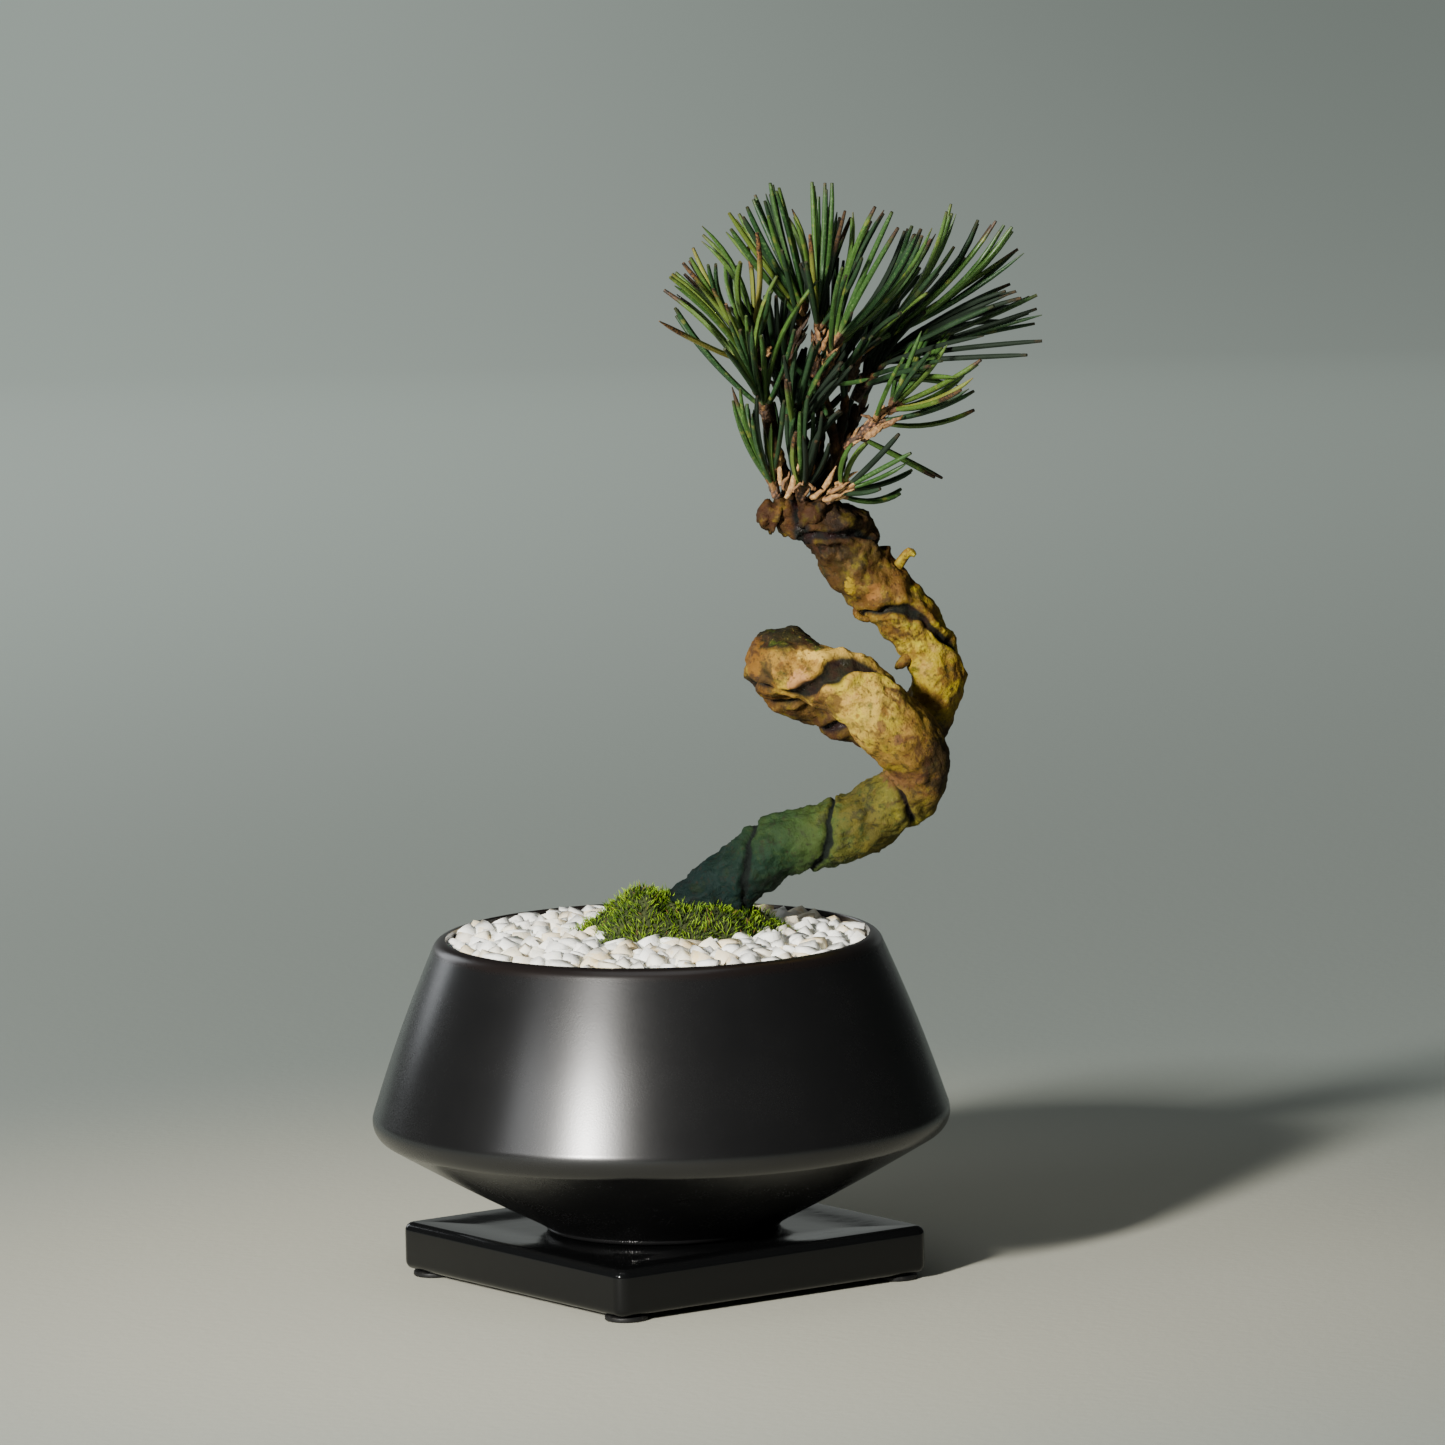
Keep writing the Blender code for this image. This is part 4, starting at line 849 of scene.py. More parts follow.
def from_pot(points):
    """Points in millimetres from the pot's axis, with any widths, as rows in metres."""
    rows = np.array(points, float) * MM
    rows[:, 0] += POT_AXIS.x
    rows[:, 1] += POT_AXIS.y
    return rows


def smooth_path(points, step):
    """A smooth curve through rows, cut at equal lengths of about step, and the length to each cut."""
    chord = np.linalg.norm(np.diff(points[:, :3], axis=0), axis=1)
    knots = np.concatenate([[0], np.cumsum(np.sqrt(chord))])
    slopes = np.gradient(points, knots, axis=0)
    fine = []
    for i in range(len(points) - 1):
        span = knots[i + 1] - knots[i]
        for t in np.linspace(0, 1, CURVE_STEPS, endpoint=False):
            fine.append(
                (2 * t**3 - 3 * t**2 + 1) * points[i] + (t**3 - 2 * t**2 + t) * span * slopes[i]
                + (3 * t**2 - 2 * t**3) * points[i + 1] + (t**3 - t**2) * span * slopes[i + 1]
            )
    fine = np.array(fine + [points[-1]])
    length = np.concatenate([[0], np.cumsum(np.linalg.norm(np.diff(fine[:, :3], axis=0), axis=1))])
    stations = np.linspace(0, length[-1], max(2, round(length[-1] / step)) + 1)
    path = np.stack([np.interp(stations, length, fine[:, k]) for k in range(fine.shape[1])], axis=1)
    return path, stations


def carried_frames(path):
    """Side and up vectors that follow a path without twisting about it."""
    tangents = np.gradient(path[:, :3], axis=0)
    tangents /= np.linalg.norm(tangents, axis=1)[:, None]
    side = np.array([0.0, -1.0, 0.0])
    if abs(tangents[0] @ side) > 0.9:
        side = np.array([1.0, 0.0, 0.0])
    frames = []
    for tangent in tangents:
        side = side - tangent * (side @ tangent)
        side /= np.linalg.norm(side)
        frames.append((side.copy(), np.cross(tangent, side)))
    return frames


def with_values(mesh, names, values):
    """Give each point of a mesh its row of values, under their names."""
    for name, column in zip(names, np.array(values, np.float32).T):
        mesh.attributes.new(name, "FLOAT", "POINT").data.foreach_set("value", column)
    return mesh


def skinned(path, sides, radius_at):
    """A closed tube of bark round a path. radius_at gives a point's distance and its values."""
    points, values = [], []
    for i, (side, up) in enumerate(carried_frames(path)):
        for k in range(sides):
            angle = math.tau * k / sides
            out = side * math.cos(angle) + up * math.sin(angle)
            radius, *extra = radius_at(i, angle, path[i, :3] + out * path[i, 3])
            points.append(tuple(path[i, :3] + out * radius))
            values.append(extra)
    count = len(path)
    faces = []
    for i in range(count - 1):
        for k in range(sides):
            after = (k + 1) % sides
            faces.append((i * sides + k, i * sides + after, (i + 1) * sides + after, (i + 1) * sides + k))
    faces.append(tuple(range(sides))[::-1])
    faces.append(tuple(range((count - 1) * sides, count * sides)))
    mesh = bpy.data.meshes.new("skin")
    mesh.from_pydata(points, [], faces)
    return with_values(mesh, ("scar", "along", "cracks"), values)


route, lengths = smooth_path(from_pot(TRUNK_ROUTE), TRUNK_STEP)
tail = np.clip((lengths[-1] - lengths) / TRUNK_TAIL, 0, 1)
route[:, 3] *= np.sqrt(np.clip(1 - (1 - tail) ** 2, 0.02, 1))
turns = np.interp(lengths, *np.array(SCAR_TURNS).T * [[MM], [1]])
turns = np.convolve(np.pad(turns, 4, "edge"), np.ones(9) / 9, "valid")
slope = np.gradient(turns, lengths) * math.tau * route[:, 3]


def rise_from(value, start, span):
    """0 up to start, 1 from a span past it, straight between."""
    return min(1.0, max(0.0, (value - start) / span))


def plate_gap(place, size):
    """Distance to the nearest joint between bark plates of a size, 0 in it and 1 well inside a plate."""
    near, far = noise.voronoi(place / size)[0][:2]
    return min(1.0, (far - near) / PLATE_JOINT)


def bark_at(ring, angle, near):
    """Radius, depth in the scar and in the top's cleft, whose dark colour is painted shade, share of the way
    up and depth in the cracks at one point.
    """
    place = Vector(near) / MM
    share = lengths[ring] / lengths[-1]
    phase = (angle + math.tau * turns[ring] + math.pi) % math.tau - math.pi
    wander = 1.3 * lump(place, 8.0) + 0.7 * lump(place, 2.6)
    across = phase * route[ring, 3] / math.hypot(1.0, slope[ring]) / MM + wander
    shown = rise_from(lengths[ring], SOIL_LINE, 8 * MM)
    deep = 0.9 + 0.8 * lump(place, 10.0, (3, 1, 4))
    width = 0.55 + 0.70 * rise_from(share, 0.30, 0.12) - 0.38 * rise_from(share, 0.68, 0.05)
    width *= 1 + 0.6 * lump(place, 5.0)
    scar = shown / (1 + (abs(across) / width) ** 4)
    old = rise_from(share, 0.26, 0.12)
    lip = (0.13 if across > 0 else 0.08) * (0.35 + 0.65 * old)
    ridge = bell((place - Vector((POT_AXIS.x / MM + 37, -13, 125.5))).length, 7.0)
    lips = (lip + 0.12 * ridge) * bell(abs(across) - width - 1.0, 1.1) * shown
    # The top's cleft is carved and counted as scar, so the scar's near-black colour paints shade in it.
    shaded_cleft = bell(place.x - POT_AXIS.x / MM - 30.2 + 0.8 * wander, 1.9) * rise_from(place.z, 145.0, 2.5)
    scar = max(scar, shaded_cleft * 0.9)
    flaky = old * min(1.0, max(0.0, 0.55 + 1.6 * lump(place, 9.0, (2, 6, 3))))
    crusty = 1 + rise_from(share, 0.88, 0.06)
    warp = Vector((lump(place, 2.0), lump(place, 2.0, (5, 2, 8)), 0)) * 1.6
    plates = 0.55 * plate_gap(place + warp, 3.4) + 0.45 * plate_gap(place + warp * 0.6, 1.4)
    lumps = 0.95 * lump(place, 6.0) + 0.65 * lump(place, 2.8, (7, 3, 1))
    rough = (plates - 0.75) * (0.07 + 0.20 * flaky)
    rough += (0.36 - 0.14 * old) * lump(place, 1.2) + (0.20 - 0.08 * old) * lump(place, 0.55)
    radius = route[ring, 3] * (1 + lips - SCAR_DEPTH * (0.5 + 0.5 * old) * deep * scar)
    radius += (lumps + rough) * crusty * MM * (1 - 0.45 * scar)
    return radius, scar, share, (1 - plates) * (0.15 + 0.85 * flaky)


# A stain gives how far right and up it lies, its half width and half height, and its colour. Two are
# painted shade: the dark rust one below the arm's groove, partly the bark's own rust brown, and the
# near-black one on the elbow's right side.
BARK_STAINS_AND_SHADE = [
    (20.2, 125.5, 2.6, 4.0, (0.140, 0.060, 0.008)), (22.8, 121.8, 1.5, 4.2, (0.026, 0.016, 0.006)),
    (19.6, 119.8, 1.6, 2.6, (0.012, 0.007, 0.006)), (29.4, 121.2, 2.6, 2.4, (0.380, 0.185, 0.072)),
    # The second stain of the next row lies below the arm's groove: rust-brown bark darkened as painted shade.
    (36.5, 126.6, 7.0, 1.3, (0.500, 0.320, 0.060)), (34.6, 116.8, 3.6, 3.0, (0.050, 0.020, 0.006)),
    (48.6, 109.6, 1.2, 1.3, (0.090, 0.038, 0.018)), (45.4, 112.6, 1.0, 1.2, (0.110, 0.048, 0.016)),
    # The second stain of the next row is painted shade on the elbow's right side.
    (49.6, 101.0, 4.6, 2.0, (0.085, 0.036, 0.011)), (57.2, 103.5, 3.8, 7.0, (0.009, 0.006, 0.003)),
    (44.6, 137.6, 1.8, 2.0, (0.210, 0.090, 0.022)), (40.0, 138.8, 1.2, 1.8, (0.300, 0.200, 0.012)),
]

bark = Finish("pine_bark", Specular_IOR_Level=0.18)
scar = bark.attribute("scar")
along = bark.attribute("along")
cracks = bark.attribute("cracks")
right, high = (bark.axis(bark.mm, letter) for letter in "XZ")
broad = bark.noise(7.0, 3.0)
patchy = bark.noise(3.0, 4.0)
speck = bark.noise(0.8, 4.0)
old = bark.mask(along, 0.26, 0.38)
wood = bark.ramp(along + (broad - 0.5) * 0.07, [
    (0.06, (0.003, 0.036, 0.029)), (0.15, (0.004, 0.050, 0.040)), (0.21, (0.018, 0.052, 0.016)),
    (0.255, (0.050, 0.078, 0.014)), (0.29, (0.120, 0.105, 0.014)), (0.335, (0.250, 0.195, 0.025)),
    (0.38, (0.290, 0.155, 0.026)), (0.44, (0.470, 0.290, 0.055)), (0.52, (0.470, 0.255, 0.050)),
    (0.60, (0.240, 0.130, 0.024)), (0.76, (0.420, 0.265, 0.016)), (0.82, (0.400, 0.245, 0.015)),
    (0.87, (0.250, 0.125, 0.015)), (0.92, (0.140, 0.080, 0.011)), (0.95, (0.070, 0.034, 0.010)),
    (0.99, (0.150, 0.078, 0.018)),
])
peach = bark.mask(patchy, 0.50, 0.64) * bark.mask(along, 0.34, 0.42)
gold = bark.blots(3.6, 3.0, 0.50, 0.66) * old
rust = bark.blots(2.2, 4.0, 0.54, 0.68) * old
umber = bark.blots(5.5, 4.0, 0.47, 0.60, 0.6) * bark.mask(along, 0.48, 0.53)
mould = bark.blots(1.6, 5.0, 0.48, 0.66, 0.65) * (1 - old)
damp = bark.mix(bark.mask(along, 0.13, 0.22), (0.006, 0.060, 0.048), (0.050, 0.100, 0.024))
grime = bark.blots(2.4, 4.0, 0.54, 0.66, 0.6)
algae = bark.blots(5.0, 4.0, 0.58, 0.70)
# The knob's top is painted dark green, near black in patches.
cap = bark.mask(high + (patchy - 0.5) * 5.0, 126.0, 128.5) * (1 - bark.mask(high, 134.0, 136.0))
cap = cap * (1 - bark.mask(right, POT_AXIS.x / MM + 33.0, POT_AXIS.x / MM + 36.0))
knob_top_colour = bark.mix(bark.mask(patchy, 0.55, 0.68), (0.012, 0.017, 0.008), (0.045, 0.090, 0.008))
for cover, colour in (
    (peach * 0.6, (0.52, 0.27, 0.085)), (gold * 0.6, (0.50, 0.375, 0.018)),
    (rust * 0.7, (0.150, 0.046, 0.012)), (umber * 0.85, (0.190, 0.080, 0.012)), (mould * 0.75, damp),
    (grime * 0.55, (0.022, 0.022, 0.012)), (algae * 0.55, (0.040, 0.072, 0.010)), (cap * 0.92, knob_top_colour),
    (bark.mask(speck, 0.42, 0.30) * 0.35 * old, (0.56, 0.40, 0.11)),
):
    wood = bark.mix(cover, wood, colour)
# Bark colour scaled along the trunk, partly its own tone and partly painted shade: dark at the foot by the
# moss, round the elbow, along the strand that runs behind the front one and near the top, and light on the
# strands that face the lamp.
tone_and_painted_shade = bark.ramp(along, [
    (0.10, (0.10, 0.12, 0.12)), (0.15, (0.14, 0.17, 0.17)), (0.18, (0.20, 0.23, 0.23)),
    (0.23, (0.62, 0.62, 0.55)), (0.275, (0.64, 0.64, 0.56)), (0.30, (0.36, 0.36, 0.34)),
    (0.34, (0.34, 0.40, 0.34)), (0.38, (0.34, 0.33, 0.26)), (0.425, (0.42, 0.42, 0.28)),
    (0.45, (0.79, 0.87, 0.71)), (0.50, (0.68, 0.72, 0.57)), (0.545, (0.46, 0.46, 0.32)),
    (0.62, (0.20, 0.19, 0.14)), (0.72, (0.20, 0.18, 0.14)), (0.765, (0.54, 0.60, 0.42)),
    (0.81, (0.74, 0.86, 0.72)), (0.87, (0.42, 0.42, 0.36)), (0.91, (0.24, 0.25, 0.20)),
    (0.95, (0.13, 0.12, 0.10)), (0.985, (0.26, 0.23, 0.17)),
])
wood = bark.vector("MULTIPLY", wood, tone_and_painted_shade)
ragged = (patchy - 0.5) * 3.0 + (speck - 0.5) * 2.6
# Stains, with the two patches of painted shade among them, go over the bark after the painted shade along the
# trunk.
for x, z, wide, tall, stain in BARK_STAINS_AND_SHADE:
    across = (right - (POT_AXIS.x / MM + x)) * (1 / wide)
    upward = (high - z) * (1 / tall)
    inside = bark.mask(across * across + upward * upward + ragged, 1.3, 0.4)
    wood = bark.mix(inside * 0.78, wood, stain)
wood = bark.mix(bark.mask(speck, 0.56, 0.70) * 0.65, wood, (0.014, 0.008, 0.004))
wood = bark.mix(bark.mask(cracks, 0.35, 0.85) * 0.75, wood, (0.034, 0.012, 0.004))
# Near-black pitch for the scar, which in the top's cleft is painted shade.
pitch_and_cleft_shade = bark.mix(bark.mask(patchy, 0.4, 0.6) * old, (0.003, 0.005, 0.004), (0.009, 0.003, 0.003))
wood = bark.mix(bark.mask(scar, 0.20, 0.70) * 0.97, wood, pitch_and_cleft_shade)
bark.feed(Base_Color=wood)
resin = bark.mask(scar, 0.5, 0.9) * bark.blots(2.6, 1.0, 0.50, 0.58) * old
bark.feed(Roughness=(0.60 + speck * 0.28 + scar * 0.2) * (1 - resin * 0.75))
bark.bump(bark.noise(1.2, 5.0, 0.62) + bark.noise(0.35, 3.0) * 0.35, 0.42)

wood_meshes = [skinned(route, TRUNK_SIDES, bark_at)]
for name, (points, foot, end) in TWIGS.items():
    age_and_shade = STUB_AGES_AND_SHADE.get(name, TWIG_AGE_AND_SHADE)
    crust = 2.2 if name.startswith("burl") else 1.0
    path = smooth_path(from_pot(points), TRUNK_STEP)[0]
    widths = np.linspace(foot, end, len(path)) * MM
    widths[-3:] *= TWIG_END
    path = np.column_stack([path, widths])

    def twig_at(ring, angle, near):
        place = Vector(near) / MM
        ridges = ((1 - plate_gap(place, 1.7)) * 0.5 - 0.7 * lump(place, 1.9)) * crust
        radius = path[ring, 3] * (1 - 0.16 * ridges) - 0.22 * ridges * MM
        return radius, 0.0, age_and_shade + 0.03 * lump(place, 3.0), max(0.0, ridges)

    wood_meshes.append(skinned(path, TWIG_SIDES, twig_at))


def joined_with_values(meshes, name):
    """Join meshes through temporary objects, which keeps their points' values."""
    things = [link(bpy.data.objects.new(f"{name}_{i}", mesh)) for i, mesh in enumerate(meshes)]
    with bpy.context.temp_override(active_object=things[0], selected_editable_objects=things):
        bpy.ops.object.join()
    mesh = things[0].data
    bpy.data.objects.remove(things[0])
    return mesh


wood_mesh = joined_with_values(wood_meshes, "wood")
finished("trunk_and_twigs", wood_mesh, [bark], ["pine_wood"], 0)


# Needle sprays
# Each leafy shoot carries stiff waxy needles with a short papery sheath round their foot and brown
# scales up its stem. Most needles have been cut back blunt, and many have dried brown at the tip.
# Needles that lie in shadow, at the back, on the far right and inside the sprays, are painted
# near-black green as shade.
NEEDLE_RADIUS = 0.51 * MM
SHEATH_RADIUS = 0.68 * MM
SHOOT_RADIUS = 1.0 * MM
PIXEL = 0.2 * MM
NEEDLE_TAPER = np.array([0.72, 0.92, 1.0, 1.04, 1.05, 1.05, 1.03, 0.98, 0.90, 0.62])
UNCUT_END = (0.74, 0.20)
UNCUT_SHARE = 0.25
BURN_REACH = 0.32
LEAST_LEAN = 0.12
SHEATH_TAPER = np.array([1.05, 1.1, 1.0, 0.8])
SHOOT_TAPER = np.array([1.0, 1.1, 0.95, 1.05, 0.92, 0.98, 0.85, 0.75, 0.45])
SCALE_TAPER = np.array([0.34, 0.40, 0.28, 0.05]) * MM
BUD_TAPER = np.array([0.7, 0.95, 1.0, 0.9, 0.72, 0.45, 0.12])
SCALES = 18
SCALE_TURN = 2.4
STRAY_PIXELS = 8
BACK_STRAY_PIXELS = 26
NEEDLE, SHEATH, SHOOT = range(3)
# A spray gives its shoot's foot and tip, the length of its needles, how many hidden pairs lean back
# and how pale its scales are. Its needles follow as they cross the 1445 pixel frame: tip, bend and
# foot, then how yellow the green is, whose lowest values are painted shade that turns needles lying
# in shadow near black, and how far the tip has browned, both from 0 to 9.
SPRAYS = {
    "low_left": ((25.4, -2.1, 157.9), (24.6, -4.0, 164.4), 25, 6, 3, [
        (732, 387, 740, 412, 774, 488, 4, 5), (733, 401, 742, 432, 771, 488, 3, 1),
        (752, 414, 755, 436, 775, 489, 2, 1), (757, 396, 759, 440, 778, 490, 0, 0),
        (764, 421, 768, 455, 780, 490, 6, 0), (747, 404, 752, 440, 774, 487, 2, 0),
        (774, 402, 778, 440, 776, 480, 2, 0), (784, 401, 781, 432, 778, 474, 1, 0),
    ]),
    "low_middle": ((30.6, -3.4, 157.6), (32.4, -6.6, 164.6), 25, 9, 5, [
        (836, 408, 812, 442, 801, 491, 1, 0), (821, 429, 811, 452, 806, 489, 2, 0),
        (794, 404, 792, 440, 800, 491, 2, 0), (796, 432, 793, 462, 796, 494, 6, 7),
        (803, 436, 806, 462, 803, 491, 0, 0), (816, 441, 811, 462, 808, 490, 0, 0),
        (808, 396, 804, 436, 804, 482, 1, 0), (812, 402, 812, 446, 806, 488, 2, 0),
        (822, 412, 816, 450, 808, 489, 0, 0), (788, 408, 790, 448, 797, 492, 1, 0),
        (800, 412, 800, 450, 802, 491, 3, 0), (829, 444, 820, 468, 810, 492, 0, 0),
    ]),
    "left": ((23.8, -3.0, 173.7), (21.0, -5.0, 184.5), 34, 8, 1, [
        (659, 321, 686, 336, 752, 356, 8, 8), (675, 308, 703, 348, 770, 412, 2, 0),
        (664, 290, 716, 334, 772, 408, 5, 4), (672, 274, 718, 318, 764, 394, 6, 1),
        (670, 277, 706, 308, 760, 382, 5, 0), (761, 336, 765, 380, 770, 416, 3, 0),
        (777, 276, 757, 328, 769, 408, 5, 0), (785, 336, 784, 368, 774, 412, 4, 0),
        (713, 289, 733, 330, 762, 402, 6, 3), (817, 280, 788, 322, 776, 414, 4, 0),
        (740, 330, 748, 362, 766, 412, 2, 0), (728, 340, 744, 368, 764, 404, 4, 0),
        (752, 326, 755, 368, 768, 414, 2, 0), (746, 316, 752, 360, 766, 410, 4, 1),
        (768, 318, 764, 364, 770, 412, 1, 0), (760, 344, 761, 380, 769, 414, 0, 0),
        (735, 318, 746, 356, 765, 408, 3, 0), (794, 330, 783, 370, 774, 414, 2, 0),
    ]),
    "upper_left": ((23.0, 1.0, 182.2), (21.2, 1.8, 189.6), 30, 6, 2, [
        (683, 263, 711, 298, 757, 366, 6, 6), (693, 248, 711, 287, 750, 350, 7, 2),
        (708, 265, 714, 288, 746, 346, 2, 0), (702, 226, 737, 273, 762, 338, 4, 1),
        (703, 235, 731, 268, 760, 342, 5, 2), (725, 259, 729, 293, 745, 331, 4, 1),
        (740, 262, 738, 296, 746, 332, 5, 1), (748, 247, 753, 290, 751, 334, 7, 8),
        (757, 233, 760, 268, 752, 334, 8, 8), (710, 286, 730, 318, 756, 362, 6, 2),
        (726, 304, 737, 330, 758, 372, 6, 4), (770, 292, 764, 322, 754, 346, 2, 0),
    ]),
    "top_left": ((27.8, 3.4, 181.4), (32.2, 4.6, 194.2), 28, 7, 1, [
        (828, 418, 813, 388, 803, 366, 2, 0), (729, 213, 757, 254, 800, 312, 6, 0),
        (736, 219, 756, 250, 798, 314, 6, 0), (743, 217, 759, 244, 796, 310, 1, 0),
        (747, 207, 768, 251, 801, 306, 2, 1), (755, 195, 776, 247, 803, 310, 3, 1),
        (768, 216, 781, 257, 804, 308, 4, 0), (770, 183, 782, 238, 806, 302, 3, 1),
        (779, 188, 792, 241, 810, 302, 4, 1), (792, 209, 806, 252, 812, 303, 6, 3),
        (788, 222, 798, 262, 808, 306, 1, 0), (726, 232, 747, 256, 794, 318, 5, 1),
        (782, 250, 790, 286, 798, 324, 1, 0),
    ]),
    "top": ((33.6, -1.1, 181.8), (34.4, -2.2, 190.8), 28, 7, 4, [
        (812, 182, 815, 250, 819, 317, 4, 1), (825, 183, 823, 250, 820, 320, 3, 2),
        (832, 183, 830, 240, 823, 318, 3, 1), (827, 207, 825, 262, 821, 318, 3, 2),
        (837, 212, 831, 252, 823, 320, 3, 0), (845, 211, 836, 246, 823, 321, 0, 9),
        (853, 212, 850, 256, 828, 322, 5, 2), (810, 235, 813, 270, 817, 316, 7, 6),
        (844, 237, 832, 262, 824, 318, 4, 3), (818, 214, 820, 262, 822, 317, 5, 0),
        (806, 262, 812, 292, 818, 322, 1, 0), (862, 258, 846, 292, 824, 330, 1, 0),
    ]),
    "top_front": ((35.0, -4.2, 179.0), (38.1, -7.0, 189.4), 37, 8, 5, [
        (875, 207, 847, 274, 824, 340, 4, 3), (884, 210, 856, 264, 828, 336, 1, 3),
        (892, 212, 869, 262, 832, 336, 3, 1), (898, 228, 872, 272, 836, 338, 3, 4),
        (912, 226, 890, 274, 841, 344, 2, 0), (917, 234, 897, 272, 842, 346, 2, 0),
        (921, 229, 902, 266, 843, 344, 0, 1), (932, 228, 904, 278, 844, 346, 4, 2),
        (931, 239, 899, 290, 845, 350, 3, 3), (870, 222, 850, 268, 826, 350, 2, 0),
        (859, 371, 838, 378, 816, 388, 1, 0), (869, 372, 842, 381, 818, 391, 4, 7),
        (907, 247, 884, 286, 840, 342, 1, 0), (842, 268, 834, 304, 824, 352, 3, 0),
    ]),
    "top_right": ((40.0, 2.3, 178.5), (43.0, 2.0, 186.5), 37, 9, 1, [
        (951, 204, 931, 262, 852, 350, 5, 0), (956, 214, 935, 262, 854, 350, 4, 0),
        (978, 220, 952, 270, 854, 352, 1, 1), (996, 221, 958, 272, 858, 350, 4, 4),
        (1012, 227, 970, 278, 868, 346, 4, 1), (1018, 249, 975, 279, 870, 347, 5, 4),
        (1024, 253, 982, 284, 872, 350, 2, 1), (927, 293, 894, 319, 850, 357, 5, 0),
        (943, 262, 915, 296, 854, 352, 1, 0), (966, 248, 934, 288, 856, 352, 0, 0),
        (920, 268, 892, 304, 850, 350, 3, 0), (954, 247, 934, 276, 862, 348, 4, 2),
        (939, 274, 908, 306, 852, 353, 5, 6), (897, 306, 872, 330, 850, 354, 3, 0),
    ]),
    "far_right": ((42.1, 7.0, 175.9), (46.8, 8.6, 183.2), 36, 10, 0, [
        (1010, 284, 948, 314, 866, 352, 1, 3), (1017, 292, 958, 312, 870, 352, 0, 2),
        (1021, 298, 966, 316, 872, 354, 0, 2), (1037, 295, 981, 320, 876, 354, 3, 1),
        (1007, 321, 948, 328, 876, 356, 0, 0), (1042, 315, 985, 330, 878, 357, 2, 0),
        (1042, 341, 964, 348, 878, 360, 0, 1), (1027, 355, 958, 358, 880, 364, 0, 1),
        (958, 379, 925, 377, 866, 386, 6, 3), (942, 361, 905, 366, 868, 376, 1, 0),
        (950, 336, 915, 348, 866, 370, 0, 0), (994, 306, 940, 330, 870, 358, 1, 0),
        (930, 366, 896, 374, 862, 386, 1, 2), (984, 336, 930, 348, 872, 366, 0, 0),
    ]),
    "pink": ((40.3, -4.4, 167.9), (49.1, -7.4, 175.8), 24, 4, 6, [
        (918, 337, 900, 367, 890, 396, 3, 0), (928, 329, 910, 366, 892, 402, 4, 0),
        (948, 328, 919, 373, 893, 404, 4, 1), (947, 345, 924, 376, 896, 408, 5, 0),
        (981, 360, 933, 389, 894, 410, 5, 4), (973, 378, 937, 399, 896, 415, 7, 1),
        (961, 390, 930, 404, 896, 417, 5, 9), (974, 391, 936, 409, 882, 430, 2, 2),
        (974, 410, 927, 425, 884, 431, 5, 3), (942, 478, 891, 452, 861, 437, 4, 5),
        (899, 365, 884, 396, 876, 420, 4, 0), (930, 352, 908, 380, 892, 404, 1, 0),
    ]),
    "low_right": ((35.9, -5.6, 156.9), (40.1, -8.0, 159.9), 18, 3, 8, [
        (899, 434, 881, 454, 842, 482, 0, 0), (866, 443, 853, 459, 840, 482, 5, 0),
        (852, 444, 843, 460, 836, 482, 4, 0), (911, 453, 881, 469, 842, 484, 3, 1),
        (908, 462, 882, 477, 843, 487, 3, 0), (912, 470, 884, 483, 844, 490, 1, 1),
        (901, 489, 881, 499, 838, 495, 3, 0), (880, 484, 862, 491, 838, 492, 2, 0),
    ]),
    "front": ((29.5, -6.2, 169.2), (29.6, -10.2, 176.8), 24, 8, 3, [
        (797, 345, 792, 378, 797, 432, 1, 0), (836, 352, 812, 386, 799, 430, 2, 0),
        (812, 356, 802, 380, 797, 434, 3, 0), (776, 370, 784, 402, 795, 436, 2, 0),
        (833, 384, 816, 404, 800, 436, 3, 0), (846, 392, 826, 412, 802, 440, 1, 0),
        (786, 380, 790, 408, 796, 438, 5, 5), (822, 374, 812, 400, 800, 436, 0, 0),
        (828, 346, 808, 384, 797, 432, 1, 0), (842, 362, 820, 392, 800, 436, 0, 0),
        (852, 366, 826, 396, 802, 438, 0, 0), (818, 340, 806, 378, 798, 430, 2, 0),
        (838, 378, 816, 402, 801, 438, 0, 0), (806, 348, 799, 384, 797, 430, 0, 0),
        (784, 356, 790, 392, 796, 434, 0, 0), (826, 362, 811, 392, 799, 432, 3, 2),
    ]),
    "back_left": ((29.2, 9.8, 172.9), (25.6, 14.0, 179.8), 30, 13, 0, [
        (741, 300, 758, 336, 786, 384, 0, 0), (768, 300, 772, 336, 784, 384, 1, 0),
        (776, 296, 778, 336, 788, 386, 0, 0), (784, 330, 784, 356, 790, 388, 1, 0),
    ]),
    "back": ((34.8, 10.5, 174.5), (36.0, 15.0, 182.0), 32, 14, 0, [
        (856, 262, 842, 310, 824, 372, 0, 0), (838, 258, 832, 310, 822, 372, 1, 0),
        (862, 326, 846, 352, 836, 384, 0, 0), (852, 312, 838, 350, 828, 384, 0, 0),
        (872, 336, 852, 362, 838, 388, 1, 0), (846, 330, 838, 356, 830, 386, 0, 0),
    ]),
    "back_right": ((38.9, 9.6, 166.2), (43.3, 14.0, 173.3), 30, 12, 0, [
        (925, 312, 896, 340, 860, 396, 0, 0), (900, 300, 880, 336, 858, 396, 1, 0),
        (864, 374, 853, 396, 844, 436, 1, 0),
    ]),
}
